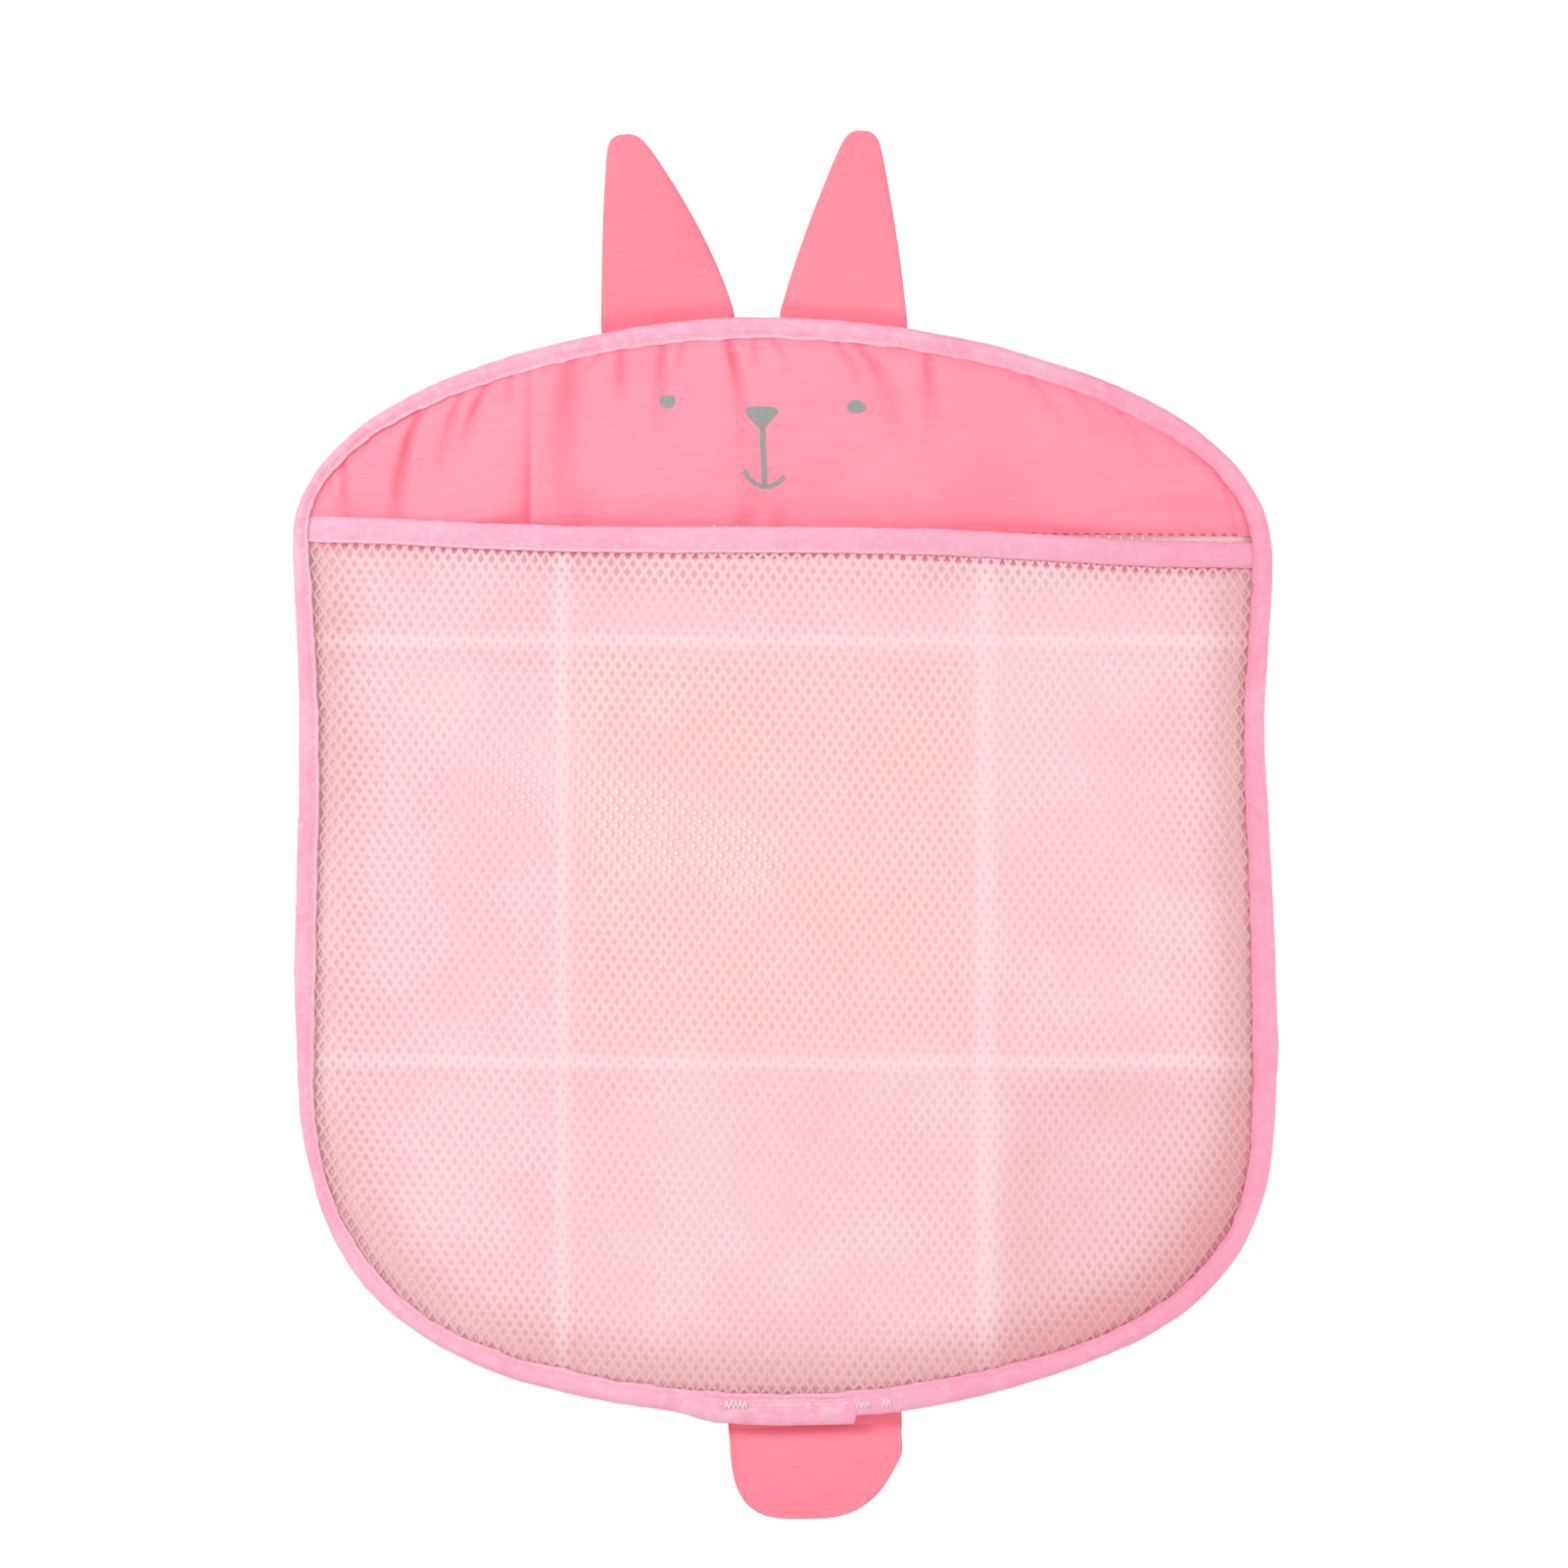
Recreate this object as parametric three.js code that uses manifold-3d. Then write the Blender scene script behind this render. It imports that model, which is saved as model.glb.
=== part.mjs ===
import * as THREE from 'three';
import { mergeVertices } from 'three/addons/utils/BufferGeometryUtils.js';
import Module from 'manifold-3d';

// Bath toy organizer: a net bag with a rabbit's outline, hung on two suction cup hooks.
// Millimetres, +Z up, +X to the viewer's right. The wall is the plane y = 0 and the bag hangs
// in front of it, towards -Y. The origin lies on the wall, midway between the two cups.

// Bag
const bagWidth = 349.3;
const bagHeight = 388;
const bagSetOver = 10;
const bagTop = 4;
const bindingWidth = 7.4;
const clothThickness = 0.6;
const layerGap = 0.3;
const netEdgeInset = 2.5;
const lapLength = 53;
const lapRamp = 7;
const lapMiddle = 9.2;
const lapDrop = 2.6;
const topCornerShare = 0.1;
const bottomCornerShare = 0.86;
const endShare = 0.15;

// Pocket
const mouthDrop = 83.9;
const mouthTilt = 1.6;
const mouthBindingWidth = 9.4;
const mouthEndGap = 2.6;
const mouthBow = 15;
const bellyDepth = 22;
const panelEdgeLeft = 1.6;
const panelEdgeRight = 2.4;
const netColumns = 10;
const pocketRows = 10;
const backRows = 12;
const netHoleShare = 0.62;

// Ears and tail
const earSpacing = 62.1;
const earLength = 67;
const earBaseWidth = 47.8;
const earPuff = 3.6;
const earLeanLeft = -9.2;
const earLeanRight = 1.4;
const earTaperLeft = [0.42, 0.35];
const earTaperRight = [0.53, 0.235];
const earTipSquareness = 40;
const tailMiddle = 21.7;
const tailWidth = 61.4;
const tailLength = 33.6;
const tailSquareCorner = 3.2;
const tailSquareReach = 0.25;
const tailRoundCorner = 2.2;
const tailRoundReach = 0.45;
const tailPuff = 3.4;
const hingeRise = 1.7;
const foldSlit = 0.2;
const allowanceDepth = 7.5;
const allowanceInset = 1;
const swellRings = [0.45, 0.8];
const waddingEdge = 0.86;

// Printed face
const faceMiddle = 2.6;
const printThickness = 0.2;
const eyeSpacing = 66.8;
const eyeDrop = 30.5;
const eyeDiameter = 5.4;
const noseDrop = 35.6;
const noseWidth = 11.2;
const noseHeight = 7.2;
const stemLength = 20.5;
const stemOverlap = 1;
const strokeWidth = 2;
const smileWidth = 15.4;
const smileDepth = 5;

// Loops, hooks and suction cups
const loopWidth = 10;
const loopThickness = 1;
const loopSpan = 40;
const loopTop = 2;
const loopFlatShare = 0.17;
const loopFootShare = 0.36;
const cupDiameter = 38;
const cupDepth = 9;
const cupRimWidth = 3;
const cupRimThickness = 1.2;
const cupShoulder = 3;
const cupHollow = 5.5;
const neckDiameter = 7;
const neckFlare = 1.5;
const headDiameter = 10.4;
const headThickness = 3;
const plateThickness = 3;
const collarDiameter = 15;
const hookWidth = 8;
const prongThickness = 3.5;
const prongTop = 4;
const crookSlack = 1.2;
const pullTabLength = 8;
const pullTabWidth = 9;
const pullTabThickness = 1.3;
const pullTabRoot = 2;
const slipGap = 0.5;

// Layers behind one another, measured from the front net's middle towards the wall
const layerPitch = clothThickness + layerGap;
const halfCloth = clothThickness / 2;
const panelLayer = layerPitch;
const backNetLayer = 2 * layerPitch;
const backFlapBack = 3 * layerPitch + halfCloth;
const frontFlapFront = -layerPitch - halfCloth;
const foldThickness = 2 * clothThickness + layerGap;
const foldFront = backFlapBack + layerGap;
const foldMiddle = foldFront + foldThickness / 2;
const foldBack = foldFront + foldThickness;
const prongFront = foldBack + slipGap;
const prongBack = prongFront + prongThickness;
const loopFront = prongBack + slipGap;
const loopBack = loopFront + loopThickness;
const headFront = loopBack + slipGap;
const plateFront = headFront + headThickness + layerGap;
const plateBack = plateFront + plateThickness;
const wallAt = plateBack + layerGap + cupDepth;
const yOf = (layer) => layer - wallAt;

const radians = THREE.MathUtils.degToRad;
const wasm = await Module();
wasm.setup();

// Outline of the bag: anchors as shares of its width and height, with the lengths of the
// curve's handles before and after each anchor in the direction of travel, clockwise from the top
const anchors = [
  { x: -0.029, z: 0, dir: [1, 0], before: 0.223, after: 0.254 },
  { x: 0.495, z: 0.217, dir: [0, -1], before: 0.138, after: 0.05 },
  { x: 0.487, z: 0.364, dir: [0, -1], before: 0.041, after: 0.084 },
  { x: 0.5, z: 0.726, dir: [0, -1], before: 0.189, after: 0.203 },
  { x: -0.013, z: 1, dir: [-1, 0], before: 0.28, after: 0.33 },
  { x: -0.495, z: 0.678, dir: [0, 1], before: 0.223, after: 0.103 },
  { x: -0.493, z: 0.389, dir: [0, 1], before: 0.039, after: 0.092 },
  { x: -0.5, z: 0.2, dir: [0, 1], before: 0.045, after: 0.117 },
];
const bagX = (share) => bagSetOver + share * bagWidth;
const bagZ = (share) => bagTop - share * bagHeight;
const handle = (anchor, share) => [
  bagX(anchor.x) + anchor.dir[0] * share * bagWidth,
  bagZ(anchor.z) + anchor.dir[1] * share * bagHeight,
];
const outline = new THREE.Path();
outline.moveTo(bagX(anchors[0].x), bagZ(anchors[0].z));
anchors.forEach((from, i) => {
  const to = anchors[(i + 1) % anchors.length];
  outline.bezierCurveTo(...handle(from, from.after), ...handle(to, -to.before), ...handle(to, 0));
});
const outlineLength = outline.getLength();

// A point of the outline at a share of a turn, moved inwards by an inset
function edgePoint(turn, inset) {
  const share = turn - Math.floor(turn);
  const point = outline.getPointAt(share);
  const along = outline.getTangentAt(share);
  return new THREE.Vector2(point.x + along.y * inset, point.y - along.x * inset);
}

const turnCount = 12000;
const turnSamples = Array.from({ length: turnCount }, (_, i) => i / turnCount);
const edgeSamples = turnSamples.map((turn) => outline.getPointAt(turn));

// The turn at which the outline comes closest to a height on one side, or to an x at top or bottom
function turnWhere(isOn, distance) {
  let best = 0;
  let least = Infinity;
  edgeSamples.forEach((point, i) => {
    if (isOn(point) && distance(point) < least) {
      least = distance(point);
      best = turnSamples[i];
    }
  });
  return best;
}
const onLeft = (z) => turnWhere((p) => p.x < bagSetOver, (p) => Math.abs(p.y - z));
const onRight = (z) => turnWhere((p) => p.x > bagSetOver, (p) => Math.abs(p.y - z));
const onTop = (x) => turnWhere((p) => p.y > bagZ(endShare), (p) => Math.abs(p.x - x));
const onBottom = (x) => turnWhere((p) => p.y < bagZ(1 - endShare), (p) => Math.abs(p.x - x));

// A closed geometry from points and triangles, turned to face outwards
function closed(position, index) {
  const at = (i) => new THREE.Vector3().fromArray(position, 3 * i);
  let volume = 0;
  for (let i = 0; i < index.length; i += 3) {
    volume += at(index[i]).dot(at(index[i + 1]).cross(at(index[i + 2])));
  }
  const geometry = new THREE.BufferGeometry();
  geometry.setAttribute('position', new THREE.Float32BufferAttribute(position, 3));
  geometry.setIndex(volume < 0 ? index.toReversed() : index);
  return geometry;
}

// A sheet of cloth between a front and a back surface over one flat mesh, with walls on every edge
function slab(points, triangles, frontY, backY) {
  const count = points.length;
  const position = [];
  for (const surface of [frontY, backY]) {
    points.forEach((p) => position.push(p.x, surface(p), p.z));
  }
  const index = [];
  const open = new Map();
  for (const [a, b, c] of triangles) {
    index.push(a, b, c, c + count, b + count, a + count);
    for (const [p, q] of [[a, b], [b, c], [c, a]]) {
      if (!open.delete(`${q} ${p}`)) open.set(`${p} ${q}`, [p, q]);
    }
  }
  for (const [p, q] of open.values()) {
    index.push(p, p + count, q + count, p, q + count, q);
  }
  return closed(position, index);
}

// A folded ribbon: one section carried through rings of points, with flat ends
function ribbon(rings) {
  const size = rings[0].length;
  const position = rings.flat().flatMap((p) => p.toArray());
  const index = [];
  for (let r = 0; r + 1 < rings.length; r++) {
    for (let k = 0; k < size; k++) {
      const a = r * size + k;
      const b = r * size + ((k + 1) % size);
      index.push(a, b, b + size, a, b + size, a + size);
    }
  }
  // The section is a channel of 8 points: 0, 1, 6 and 7 are the front flap, 1, 2, 5 and 6 the web,
  // and the rest the back flap
  const ends = [[0, 1, 6], [0, 6, 7], [1, 2, 5], [1, 5, 6], [2, 3, 4], [2, 4, 5]];
  const last = (rings.length - 1) * size;
  for (const [a, b, c] of ends) {
    index.push(c, b, a, a + last, b + last, c + last);
  }
  return closed(position, index);
}

// Booleans
function solidOf(geometry) {
  const bare = geometry.clone();
  bare.deleteAttribute('normal');
  bare.deleteAttribute('uv');
  const merged = mergeVertices(bare, 1e-4);
  const vertProperties = new Float32Array(merged.attributes.position.array);
  const triVerts = new Uint32Array(merged.index.array);
  return new wasm.Manifold(new wasm.Mesh({ numProp: 3, vertProperties, triVerts }));
}
function geometryOf(solid) {
  const mesh = solid.getMesh();
  const geometry = new THREE.BufferGeometry();
  geometry.setAttribute('position', new THREE.Float32BufferAttribute(mesh.vertProperties, 3));
  geometry.setIndex(Array.from(mesh.triVerts));
  return geometry;
}

// Materials
const cloth = (color) => new THREE.MeshStandardMaterial({ color, roughness: 0.85, metalness: 0 });
const clear = (color, roughness) => new THREE.MeshStandardMaterial({ color, roughness, metalness: 0 });
const organizer = new THREE.Group();
function add(parent, name, geometry, material) {
  const mesh = new THREE.Mesh(geometry, material);
  mesh.name = name;
  parent.add(mesh);
  return mesh;
}
const coral = '#fe9fb2';
const ribbonPink = '#fdb3cc';
const netPink = '#fbd0d6';

// Mouth of the pocket: a line that tilts down to the right, at the lower edge of its ribbon
const innerInset = bindingWidth + 2 * layerGap;
const mouthRise = Math.tan(radians(mouthTilt)) * bagWidth / 2;
const mouthZ = bagTop - mouthDrop;
const mouthLeftTurn = onLeft(mouthZ + mouthRise);
const mouthRightTurn = onRight(mouthZ - mouthRise);
const mouthLeft = edgePoint(mouthLeftTurn, innerInset);
const mouthRight = edgePoint(mouthRightTurn, innerInset);
const mouthUp = new THREE.Vector2(mouthLeft.y - mouthRight.y, mouthRight.x - mouthLeft.x).normalize();
const mouthAt = (u) => mouthLeft.clone().lerp(mouthRight, u);
const pocketCorner = bagZ(bottomCornerShare);

// How far the pocket stands off the back net, over its width u and its depth v: by the bow at the
// mouth, by the belly's depth halfway down, and not at all at the bottom
function belly(u, v) {
  const down = mouthBow * (1 - v * v) + (4 * bellyDepth - 3 * mouthBow) * v * (1 - v);
  return down * Math.sin(Math.PI * u) ** 2;
}

// A net between four sides: rows of staggered holes, with a plain rim that reaches into the binding.
// Each side is a function of 0 to 1 that gives a point at an inset from the outline.
function netMesh(sides, rows, holeShare) {
  const { left, right, top, bottom, rims } = sides;
  const points = [];
  const triangles = [];
  const steps = 2 * netColumns;
  const corner = [left(0), right(0), left(1), right(1)];
  const place = (u, v) => {
    const p = new THREE.Vector2();
    p.addScaledVector(top(u), 1 - v).addScaledVector(bottom(u), v);
    p.addScaledVector(left(v), 1 - u).addScaledVector(right(v), u);
    p.addScaledVector(corner[0], -(1 - u) * (1 - v)).addScaledVector(corner[1], -u * (1 - v));
    p.addScaledVector(corner[2], -(1 - u) * v).addScaledVector(corner[3], -u * v);
    points.push({ x: p.x, z: p.y, u, v });
    return points.length - 1;
  };
  const lines = [];
  for (let j = 0; j <= rows; j++) {
    lines.push(Array.from({ length: steps + 1 }, (_, k) => place(k / steps, j / rows)));
  }
  const quad = (a, b, c, d) => triangles.push([a, b, c], [a, c, d]);
  for (let j = 0; j < rows; j++) {
    const upper = lines[j];
    const lower = lines[j + 1];
    const shift = j % 2;
    if (shift) {
      quad(lower[0], lower[1], upper[1], upper[0]);
      quad(lower[steps - 1], lower[steps], upper[steps], upper[steps - 1]);
    }
    for (let k = shift; k + 2 <= steps; k += 2) {
      const u = (k + 1) / steps;
      const v = (j + 0.5) / rows;
      const wide = holeShare / steps;
      const high = holeShare / (2 * rows);
      const hole = [place(u - wide, v), place(u, v + high), place(u + wide, v), place(u, v - high)];
      const [west, south, east, north] = hole;
      triangles.push([lower[k], lower[k + 1], south], [lower[k + 1], lower[k + 2], south]);
      triangles.push([lower[k + 2], east, south], [lower[k + 2], upper[k + 2], east]);
      triangles.push([upper[k + 2], north, east], [upper[k + 2], upper[k + 1], north]);
      triangles.push([upper[k + 1], upper[k], north], [upper[k], west, north]);
      triangles.push([upper[k], lower[k], west], [lower[k], south, west]);
    }
  }
  const edges = {
    left: lines.map((line) => line[0]),
    bottom: lines[rows],
    right: lines.map((line) => line[steps]).reverse(),
    top: lines[0].toReversed(),
  };
  // The rim runs round the sides in turn, and neighbouring sides share their corner points
  const made = new Map();
  const outer = (inner, p) => {
    const key = `${inner} ${p.x.toFixed(3)} ${p.y.toFixed(3)}`;
    if (!made.has(key)) {
      points.push({ x: p.x, z: p.y, u: points[inner].u, v: points[inner].v });
      made.set(key, points.length - 1);
    }
    return made.get(key);
  };
  for (const [side, reach] of Object.entries(rims)) {
    const inner = edges[side];
    const rim = inner.map((i, n) => outer(i, reach(n / (inner.length - 1))));
    for (let n = 0; n + 1 < inner.length; n++) {
      quad(inner[n], rim[n], rim[n + 1], inner[n + 1]);
    }
  }
  return { points, triangles };
}

// A stretch of the outline from one turn to another, as a function of 0 to 1
const stretch = (from, to, inset) => (share) => edgePoint(from + (to - from) * share, inset);

// Back net: the whole outline, flat
const backLeftTop = onLeft(bagZ(topCornerShare)) - 1;
const backRightTop = onRight(bagZ(topCornerShare));
const rightCorner = onRight(pocketCorner);
const leftCorner = onLeft(pocketCorner);
const backNet = netMesh({
  left: stretch(backLeftTop, leftCorner - 1, innerInset),
  right: stretch(backRightTop, rightCorner, innerInset),
  top: stretch(backLeftTop, backRightTop, innerInset),
  bottom: stretch(leftCorner, rightCorner, innerInset),
  rims: {
    left: stretch(backLeftTop, leftCorner - 1, netEdgeInset),
    bottom: stretch(leftCorner, rightCorner, netEdgeInset),
    right: stretch(rightCorner, backRightTop, netEdgeInset),
    top: stretch(backRightTop, backLeftTop, netEdgeInset),
  },
}, backRows, netHoleShare);
const flat = (layer) => () => yOf(layer);
add(organizer, 'back_net', slab(
  backNet.points, backNet.triangles, flat(backNetLayer - halfCloth), flat(backNetLayer + halfCloth),
), cloth(netPink));

// Front net: from inside the mouth ribbon down to the bottom, standing off as a belly
const ribbonNetTop = mouthBindingWidth - layerPitch;
const frontNet = netMesh({
  left: stretch(mouthLeftTurn, leftCorner, innerInset),
  right: stretch(mouthRightTurn, rightCorner, innerInset),
  top: mouthAt,
  bottom: stretch(leftCorner, rightCorner, innerInset),
  rims: {
    left: stretch(mouthLeftTurn, leftCorner, netEdgeInset),
    bottom: stretch(leftCorner, rightCorner, netEdgeInset),
    right: stretch(rightCorner, mouthRightTurn, netEdgeInset),
    top: (share) => mouthAt(1 - share).addScaledVector(mouthUp, ribbonNetTop),
  },
}, pocketRows, netHoleShare);
const bulge = (offset) => (p) => yOf(offset) - belly(p.u, p.v);
add(organizer, 'front_net', slab(
  frontNet.points, frontNet.triangles, bulge(-halfCloth), bulge(halfCloth),
), cloth(netPink));

// Mouth ribbon, folded over the net's free edge and bowed forward with it
const mouthRings = [];
const mouthLength = mouthLeft.distanceTo(mouthRight);
const mouthEnd = mouthEndGap / mouthLength;
for (let k = 0; k <= 2 * netColumns; k++) {
  const u = THREE.MathUtils.clamp(k / (2 * netColumns), mouthEnd, 1 - mouthEnd);
  const foot = mouthAt(u);
  const inside = halfCloth + layerGap;
  const outside = inside + clothThickness;
  const web = mouthBindingWidth - clothThickness;
  const section = [
    [-outside, 0], [-outside, mouthBindingWidth], [outside, mouthBindingWidth], [outside, 0],
    [inside, 0], [inside, web], [-inside, web], [-inside, 0],
  ];
  mouthRings.push(section.map(([back, up]) => {
    const p = foot.clone().addScaledVector(mouthUp, up);
    return new THREE.Vector3(p.x, yOf(back) - belly(u, 0), p.y);
  }));
}
add(organizer, 'mouth_binding', ribbon(mouthRings), cloth(ribbonPink));

// Edge binding, folded round the rims of all the panels; its end laps over its beginning at the bottom
const lapStart = onBottom(lapMiddle + lapLength / 2);
const lapTurn = lapLength / outlineLength;
const rampTurn = lapRamp / outlineLength;
const bindingSteps = 75;
const lapSteps = 6;
const bindingTurns = [];
for (let i = 0; i <= bindingSteps; i++) {
  bindingTurns.push((1 - rampTurn) * i / bindingSteps);
}
for (let i = 0; i <= lapSteps; i++) {
  bindingTurns.push(1 + lapTurn * i / lapSteps);
}
const bindingRings = bindingTurns.map((turn) => {
  const lift = turn >= 1 ? layerPitch : 0;
  const drop = turn >= 1 ? lapDrop : 0;
  const front = frontFlapFront - lift;
  const back = backFlapBack + lift;
  const web = clothThickness - drop;
  const section = [
    [bindingWidth, front], [-drop, front], [-drop, back], [bindingWidth, back],
    [bindingWidth, back - clothThickness], [web, back - clothThickness],
    [web, front + clothThickness], [bindingWidth, front + clothThickness],
  ];
  return section.map(([inset, layer]) => {
    const p = edgePoint(lapStart + turn, inset);
    return new THREE.Vector3(p.x, yOf(layer), p.y);
  });
});
add(organizer, 'edge_binding', ribbon(bindingRings), cloth(ribbonPink));

// A flat shape in x and z, given a thickness that starts at a layer and grows towards the wall
const plateSegments = 6;
function plate(shape, layer, thickness) {
  const settings = { depth: thickness, bevelEnabled: false, curveSegments: plateSegments };
  const geometry = new THREE.ExtrudeGeometry(shape, settings);
  geometry.rotateX(Math.PI / 2);
  geometry.translate(0, yOf(layer) + thickness, 0);
  return geometry;
}

// Face panel, from the top binding to just above the mouth ribbon
const ribbonTop = (u) => mouthAt(u).addScaledVector(mouthUp, mouthBindingWidth);
const panelLeftTurn = onLeft(ribbonTop(0).y + panelEdgeLeft) - 1;
const panelRightTurn = onRight(ribbonTop(1).y + panelEdgeRight);
const panelSteps = 40;
const panelRim = stretch(panelLeftTurn, panelRightTurn, netEdgeInset);
const panelEdge = Array.from({ length: panelSteps + 1 }, (_, i) => panelRim(i / panelSteps));
const panelShape = new THREE.Shape(panelEdge);
add(organizer, 'face_panel', plate(panelShape, panelLayer - halfCloth, clothThickness), cloth(coral));

// Printed face, thin films of ink on the panel
const ink = () => cloth('#9aa39d');
const printLayer = panelLayer - halfCloth - layerGap - printThickness;
const archTop = bagZ(0);
for (const [side, sign] of [['left', -1], ['right', 1]]) {
  const eye = new THREE.Shape();
  eye.absarc(faceMiddle + sign * eyeSpacing / 2, archTop - eyeDrop, eyeDiameter / 2, 0, 2 * Math.PI);
  add(organizer, `eye_print_${side}`, plate(eye, printLayer, printThickness), ink());
}
const noseTop = archTop - noseDrop + noseHeight / 2;
const noseFoot = noseTop - noseHeight;
const noseShoulder = noseWidth * 0.3;
const noseBulge = noseWidth * 0.62;
const noseCheek = noseTop - noseHeight * 0.3;
const noseCrown = noseTop + noseHeight * 0.12;
const nose = new THREE.Shape();
nose.moveTo(faceMiddle, noseFoot);
nose.quadraticCurveTo(faceMiddle - noseBulge, noseCheek, faceMiddle - noseShoulder, noseTop);
nose.quadraticCurveTo(faceMiddle, noseCrown, faceMiddle + noseShoulder, noseTop);
nose.quadraticCurveTo(faceMiddle + noseBulge, noseCheek, faceMiddle, noseFoot);
const stem = new THREE.BoxGeometry(strokeWidth, printThickness, stemLength + stemOverlap);
const stemMiddle = noseFoot - (stemLength - stemOverlap) / 2;
stem.translate(faceMiddle, yOf(printLayer) + printThickness / 2, stemMiddle);
const smileRadius = (smileWidth ** 2 / 4 + smileDepth ** 2) / (2 * smileDepth);
const smileSweep = Math.asin(smileWidth / 2 / smileRadius);
const smileMiddle = noseFoot - stemLength + smileRadius;
const smile = new THREE.Shape();
const smileFrom = -Math.PI / 2 - smileSweep;
const smileTo = -Math.PI / 2 + smileSweep;
smile.absarc(faceMiddle, smileMiddle, smileRadius + strokeWidth / 2, smileFrom, smileTo, false);
smile.absarc(faceMiddle, smileMiddle, smileRadius - strokeWidth / 2, smileTo, smileFrom, true);
const noseAndMouth = solidOf(plate(nose, printLayer, printThickness))
  .add(solidOf(stem))
  .add(solidOf(plate(smile, printLayer, printThickness)));
add(organizer, 'nose_mouth_print', geometryOf(noseAndMouth), ink());

// A padded flap, two fabrics round a thin wadding, in its own plane with the sewn edge on z = 0.
// Rings of the outline shrink towards a middle point, and the padding swells towards it.
function paddedFlap(group, name, edge, middle, puff) {
  const swell = (s) => puff * (1 - s * s);
  const seam = layerGap / 2;
  const flapMesh = (scales) => {
    const points = [{ x: middle.x, z: middle.y, s: 0 }];
    const triangles = [];
    scales.forEach((s, ring) => {
      edge.forEach((p, i) => {
        const at = middle.clone().lerp(p, s);
        points.push({ x: at.x, z: at.y, s });
        const next = (i + 1) % edge.length;
        const here = 1 + ring * edge.length;
        const below = here - edge.length;
        if (ring === 0) {
          triangles.push([0, here + i, here + next]);
        } else {
          triangles.push([below + i, here + i, here + next], [below + i, here + next, below + next]);
        }
      });
    });
    return [points, triangles];
  };
  const shell = flapMesh([...swellRings, 1]);
  const filling = flapMesh([...swellRings, waddingEdge]);
  const inner = (p) => seam + swell(p.s);
  const outer = (p) => inner(p) + clothThickness;
  const core = (p) => inner(p) - layerGap;
  add(group, `${name}_front`, slab(...shell, (p) => -outer(p), (p) => -inner(p)), cloth(coral));
  add(group, `${name}_back`, slab(...shell, inner, outer), cloth(coral));
  add(group, `${name}_wadding`, slab(...filling, (p) => -core(p), core), cloth('#f4f1ee'));
}

// The seam allowance that is sewn behind the binding, below an ear or above the tail
function allowance(group, name, width, side) {
  const box = new THREE.BoxGeometry(width, foldThickness, allowanceDepth);
  box.translate(0, 0, side * (foldThickness / 2 + foldSlit + allowanceDepth / 2));
  add(group, name, box, cloth(coral));
}

// A group whose x axis lies along the binding's edge, just outside it, in the plane of the sewn flaps.
// Where the binding is lapped it lies further out by the drop, and stands off by the lift.
function flapGroup(turn, side, drop, lift) {
  const foot = edgePoint(turn, -hingeRise - drop);
  const along = outline.getTangentAt(turn);
  const group = new THREE.Group();
  group.position.set(foot.x, yOf(foldMiddle + lift), foot.y);
  group.rotation.y = -Math.atan2(side * along.y, side * along.x);
  organizer.add(group);
  return group;
}

// Ears: they taper to a blunt tip, and each leans its own way
const earSteps = 11;
const earBend = 1.5;
const ears = [['left', -1, earLeanLeft, earTaperLeft], ['right', 1, earLeanRight, earTaperRight]];
for (const [side, sign, lean, taper] of ears) {
  const narrowed = (t) => 1 - taper[0] * t - taper[1] * t * t;
  const half = (t) => (earBaseWidth / 2) * narrowed(t) * Math.sqrt(1 - t ** earTipSquareness);
  const across = (t) => lean * t ** earBend;
  const along = Array.from({ length: earSteps }, (_, i) => Math.sin(Math.PI / 2 * i / (earSteps - 1)));
  const rightEdge = along.map((t) => new THREE.Vector2(across(t) + half(t), earLength * t));
  const leftEdge = along.slice(0, -1).map((t) => new THREE.Vector2(across(t) - half(t), earLength * t));
  const group = flapGroup(onTop(sign * earSpacing / 2), 1, 0, 0);
  const middle = new THREE.Vector2(across(0.4), earLength * 0.4);
  paddedFlap(group, `ear_${side}`, [...rightEdge, ...leftEdge.reverse()], middle, earPuff);
  allowance(group, `ear_${side}_allowance`, earBaseWidth - 2 * allowanceInset, -1);
}

// Tail: a short flap that hangs from the bottom binding, squarer at its left corner than at its right.
// Down its length t runs from 0 to 1, close together near the foot.
const tailSteps = 11;
function tailSide(sign, corner, reach) {
  return Array.from({ length: tailSteps }, (_, i) => {
    const angle = (Math.PI / 2) * i / (tailSteps - 1);
    const t = Math.sin(angle) ** (2 / corner);
    const half = (tailWidth / 2) * Math.abs(1 - t ** corner) ** reach;
    return new THREE.Vector2(sign * half, -tailLength * t);
  });
}
const tailLeft = tailSide(-1, tailSquareCorner, tailSquareReach);
const tailRight = tailSide(1, tailRoundCorner, tailRoundReach).slice(0, -1).reverse();
const tailEdge = [...tailLeft, ...tailRight];
const tailGroup = flapGroup(onBottom(tailMiddle), -1, lapDrop, layerPitch);
paddedFlap(tailGroup, 'tail', tailEdge, new THREE.Vector2(0, -tailLength * 0.45), tailPuff);
allowance(tailGroup, 'tail_allowance', tailWidth - 2 * allowanceInset, 1);

// Hanging loops: a ribbon sewn down at both ends behind each ear, standing off to let a hook in
const loopEnd = foldBack + layerGap;
const loopSteps = 20;
const loopLine = Array.from({ length: loopSteps + 1 }, (_, i) => {
  const x = loopSpan * (i / loopSteps - 0.5);
  const slope = THREE.MathUtils.smoothstep(Math.abs(x), loopSpan * loopFlatShare, loopSpan * loopFootShare);
  return new THREE.Vector2(x, yOf(loopFront + (loopEnd - loopFront) * slope));
});
const loopOuter = loopLine.map((p) => new THREE.Vector2(p.x, p.y + loopThickness)).reverse();
const loopShape = new THREE.Shape([...loopLine, ...loopOuter]);

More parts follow.
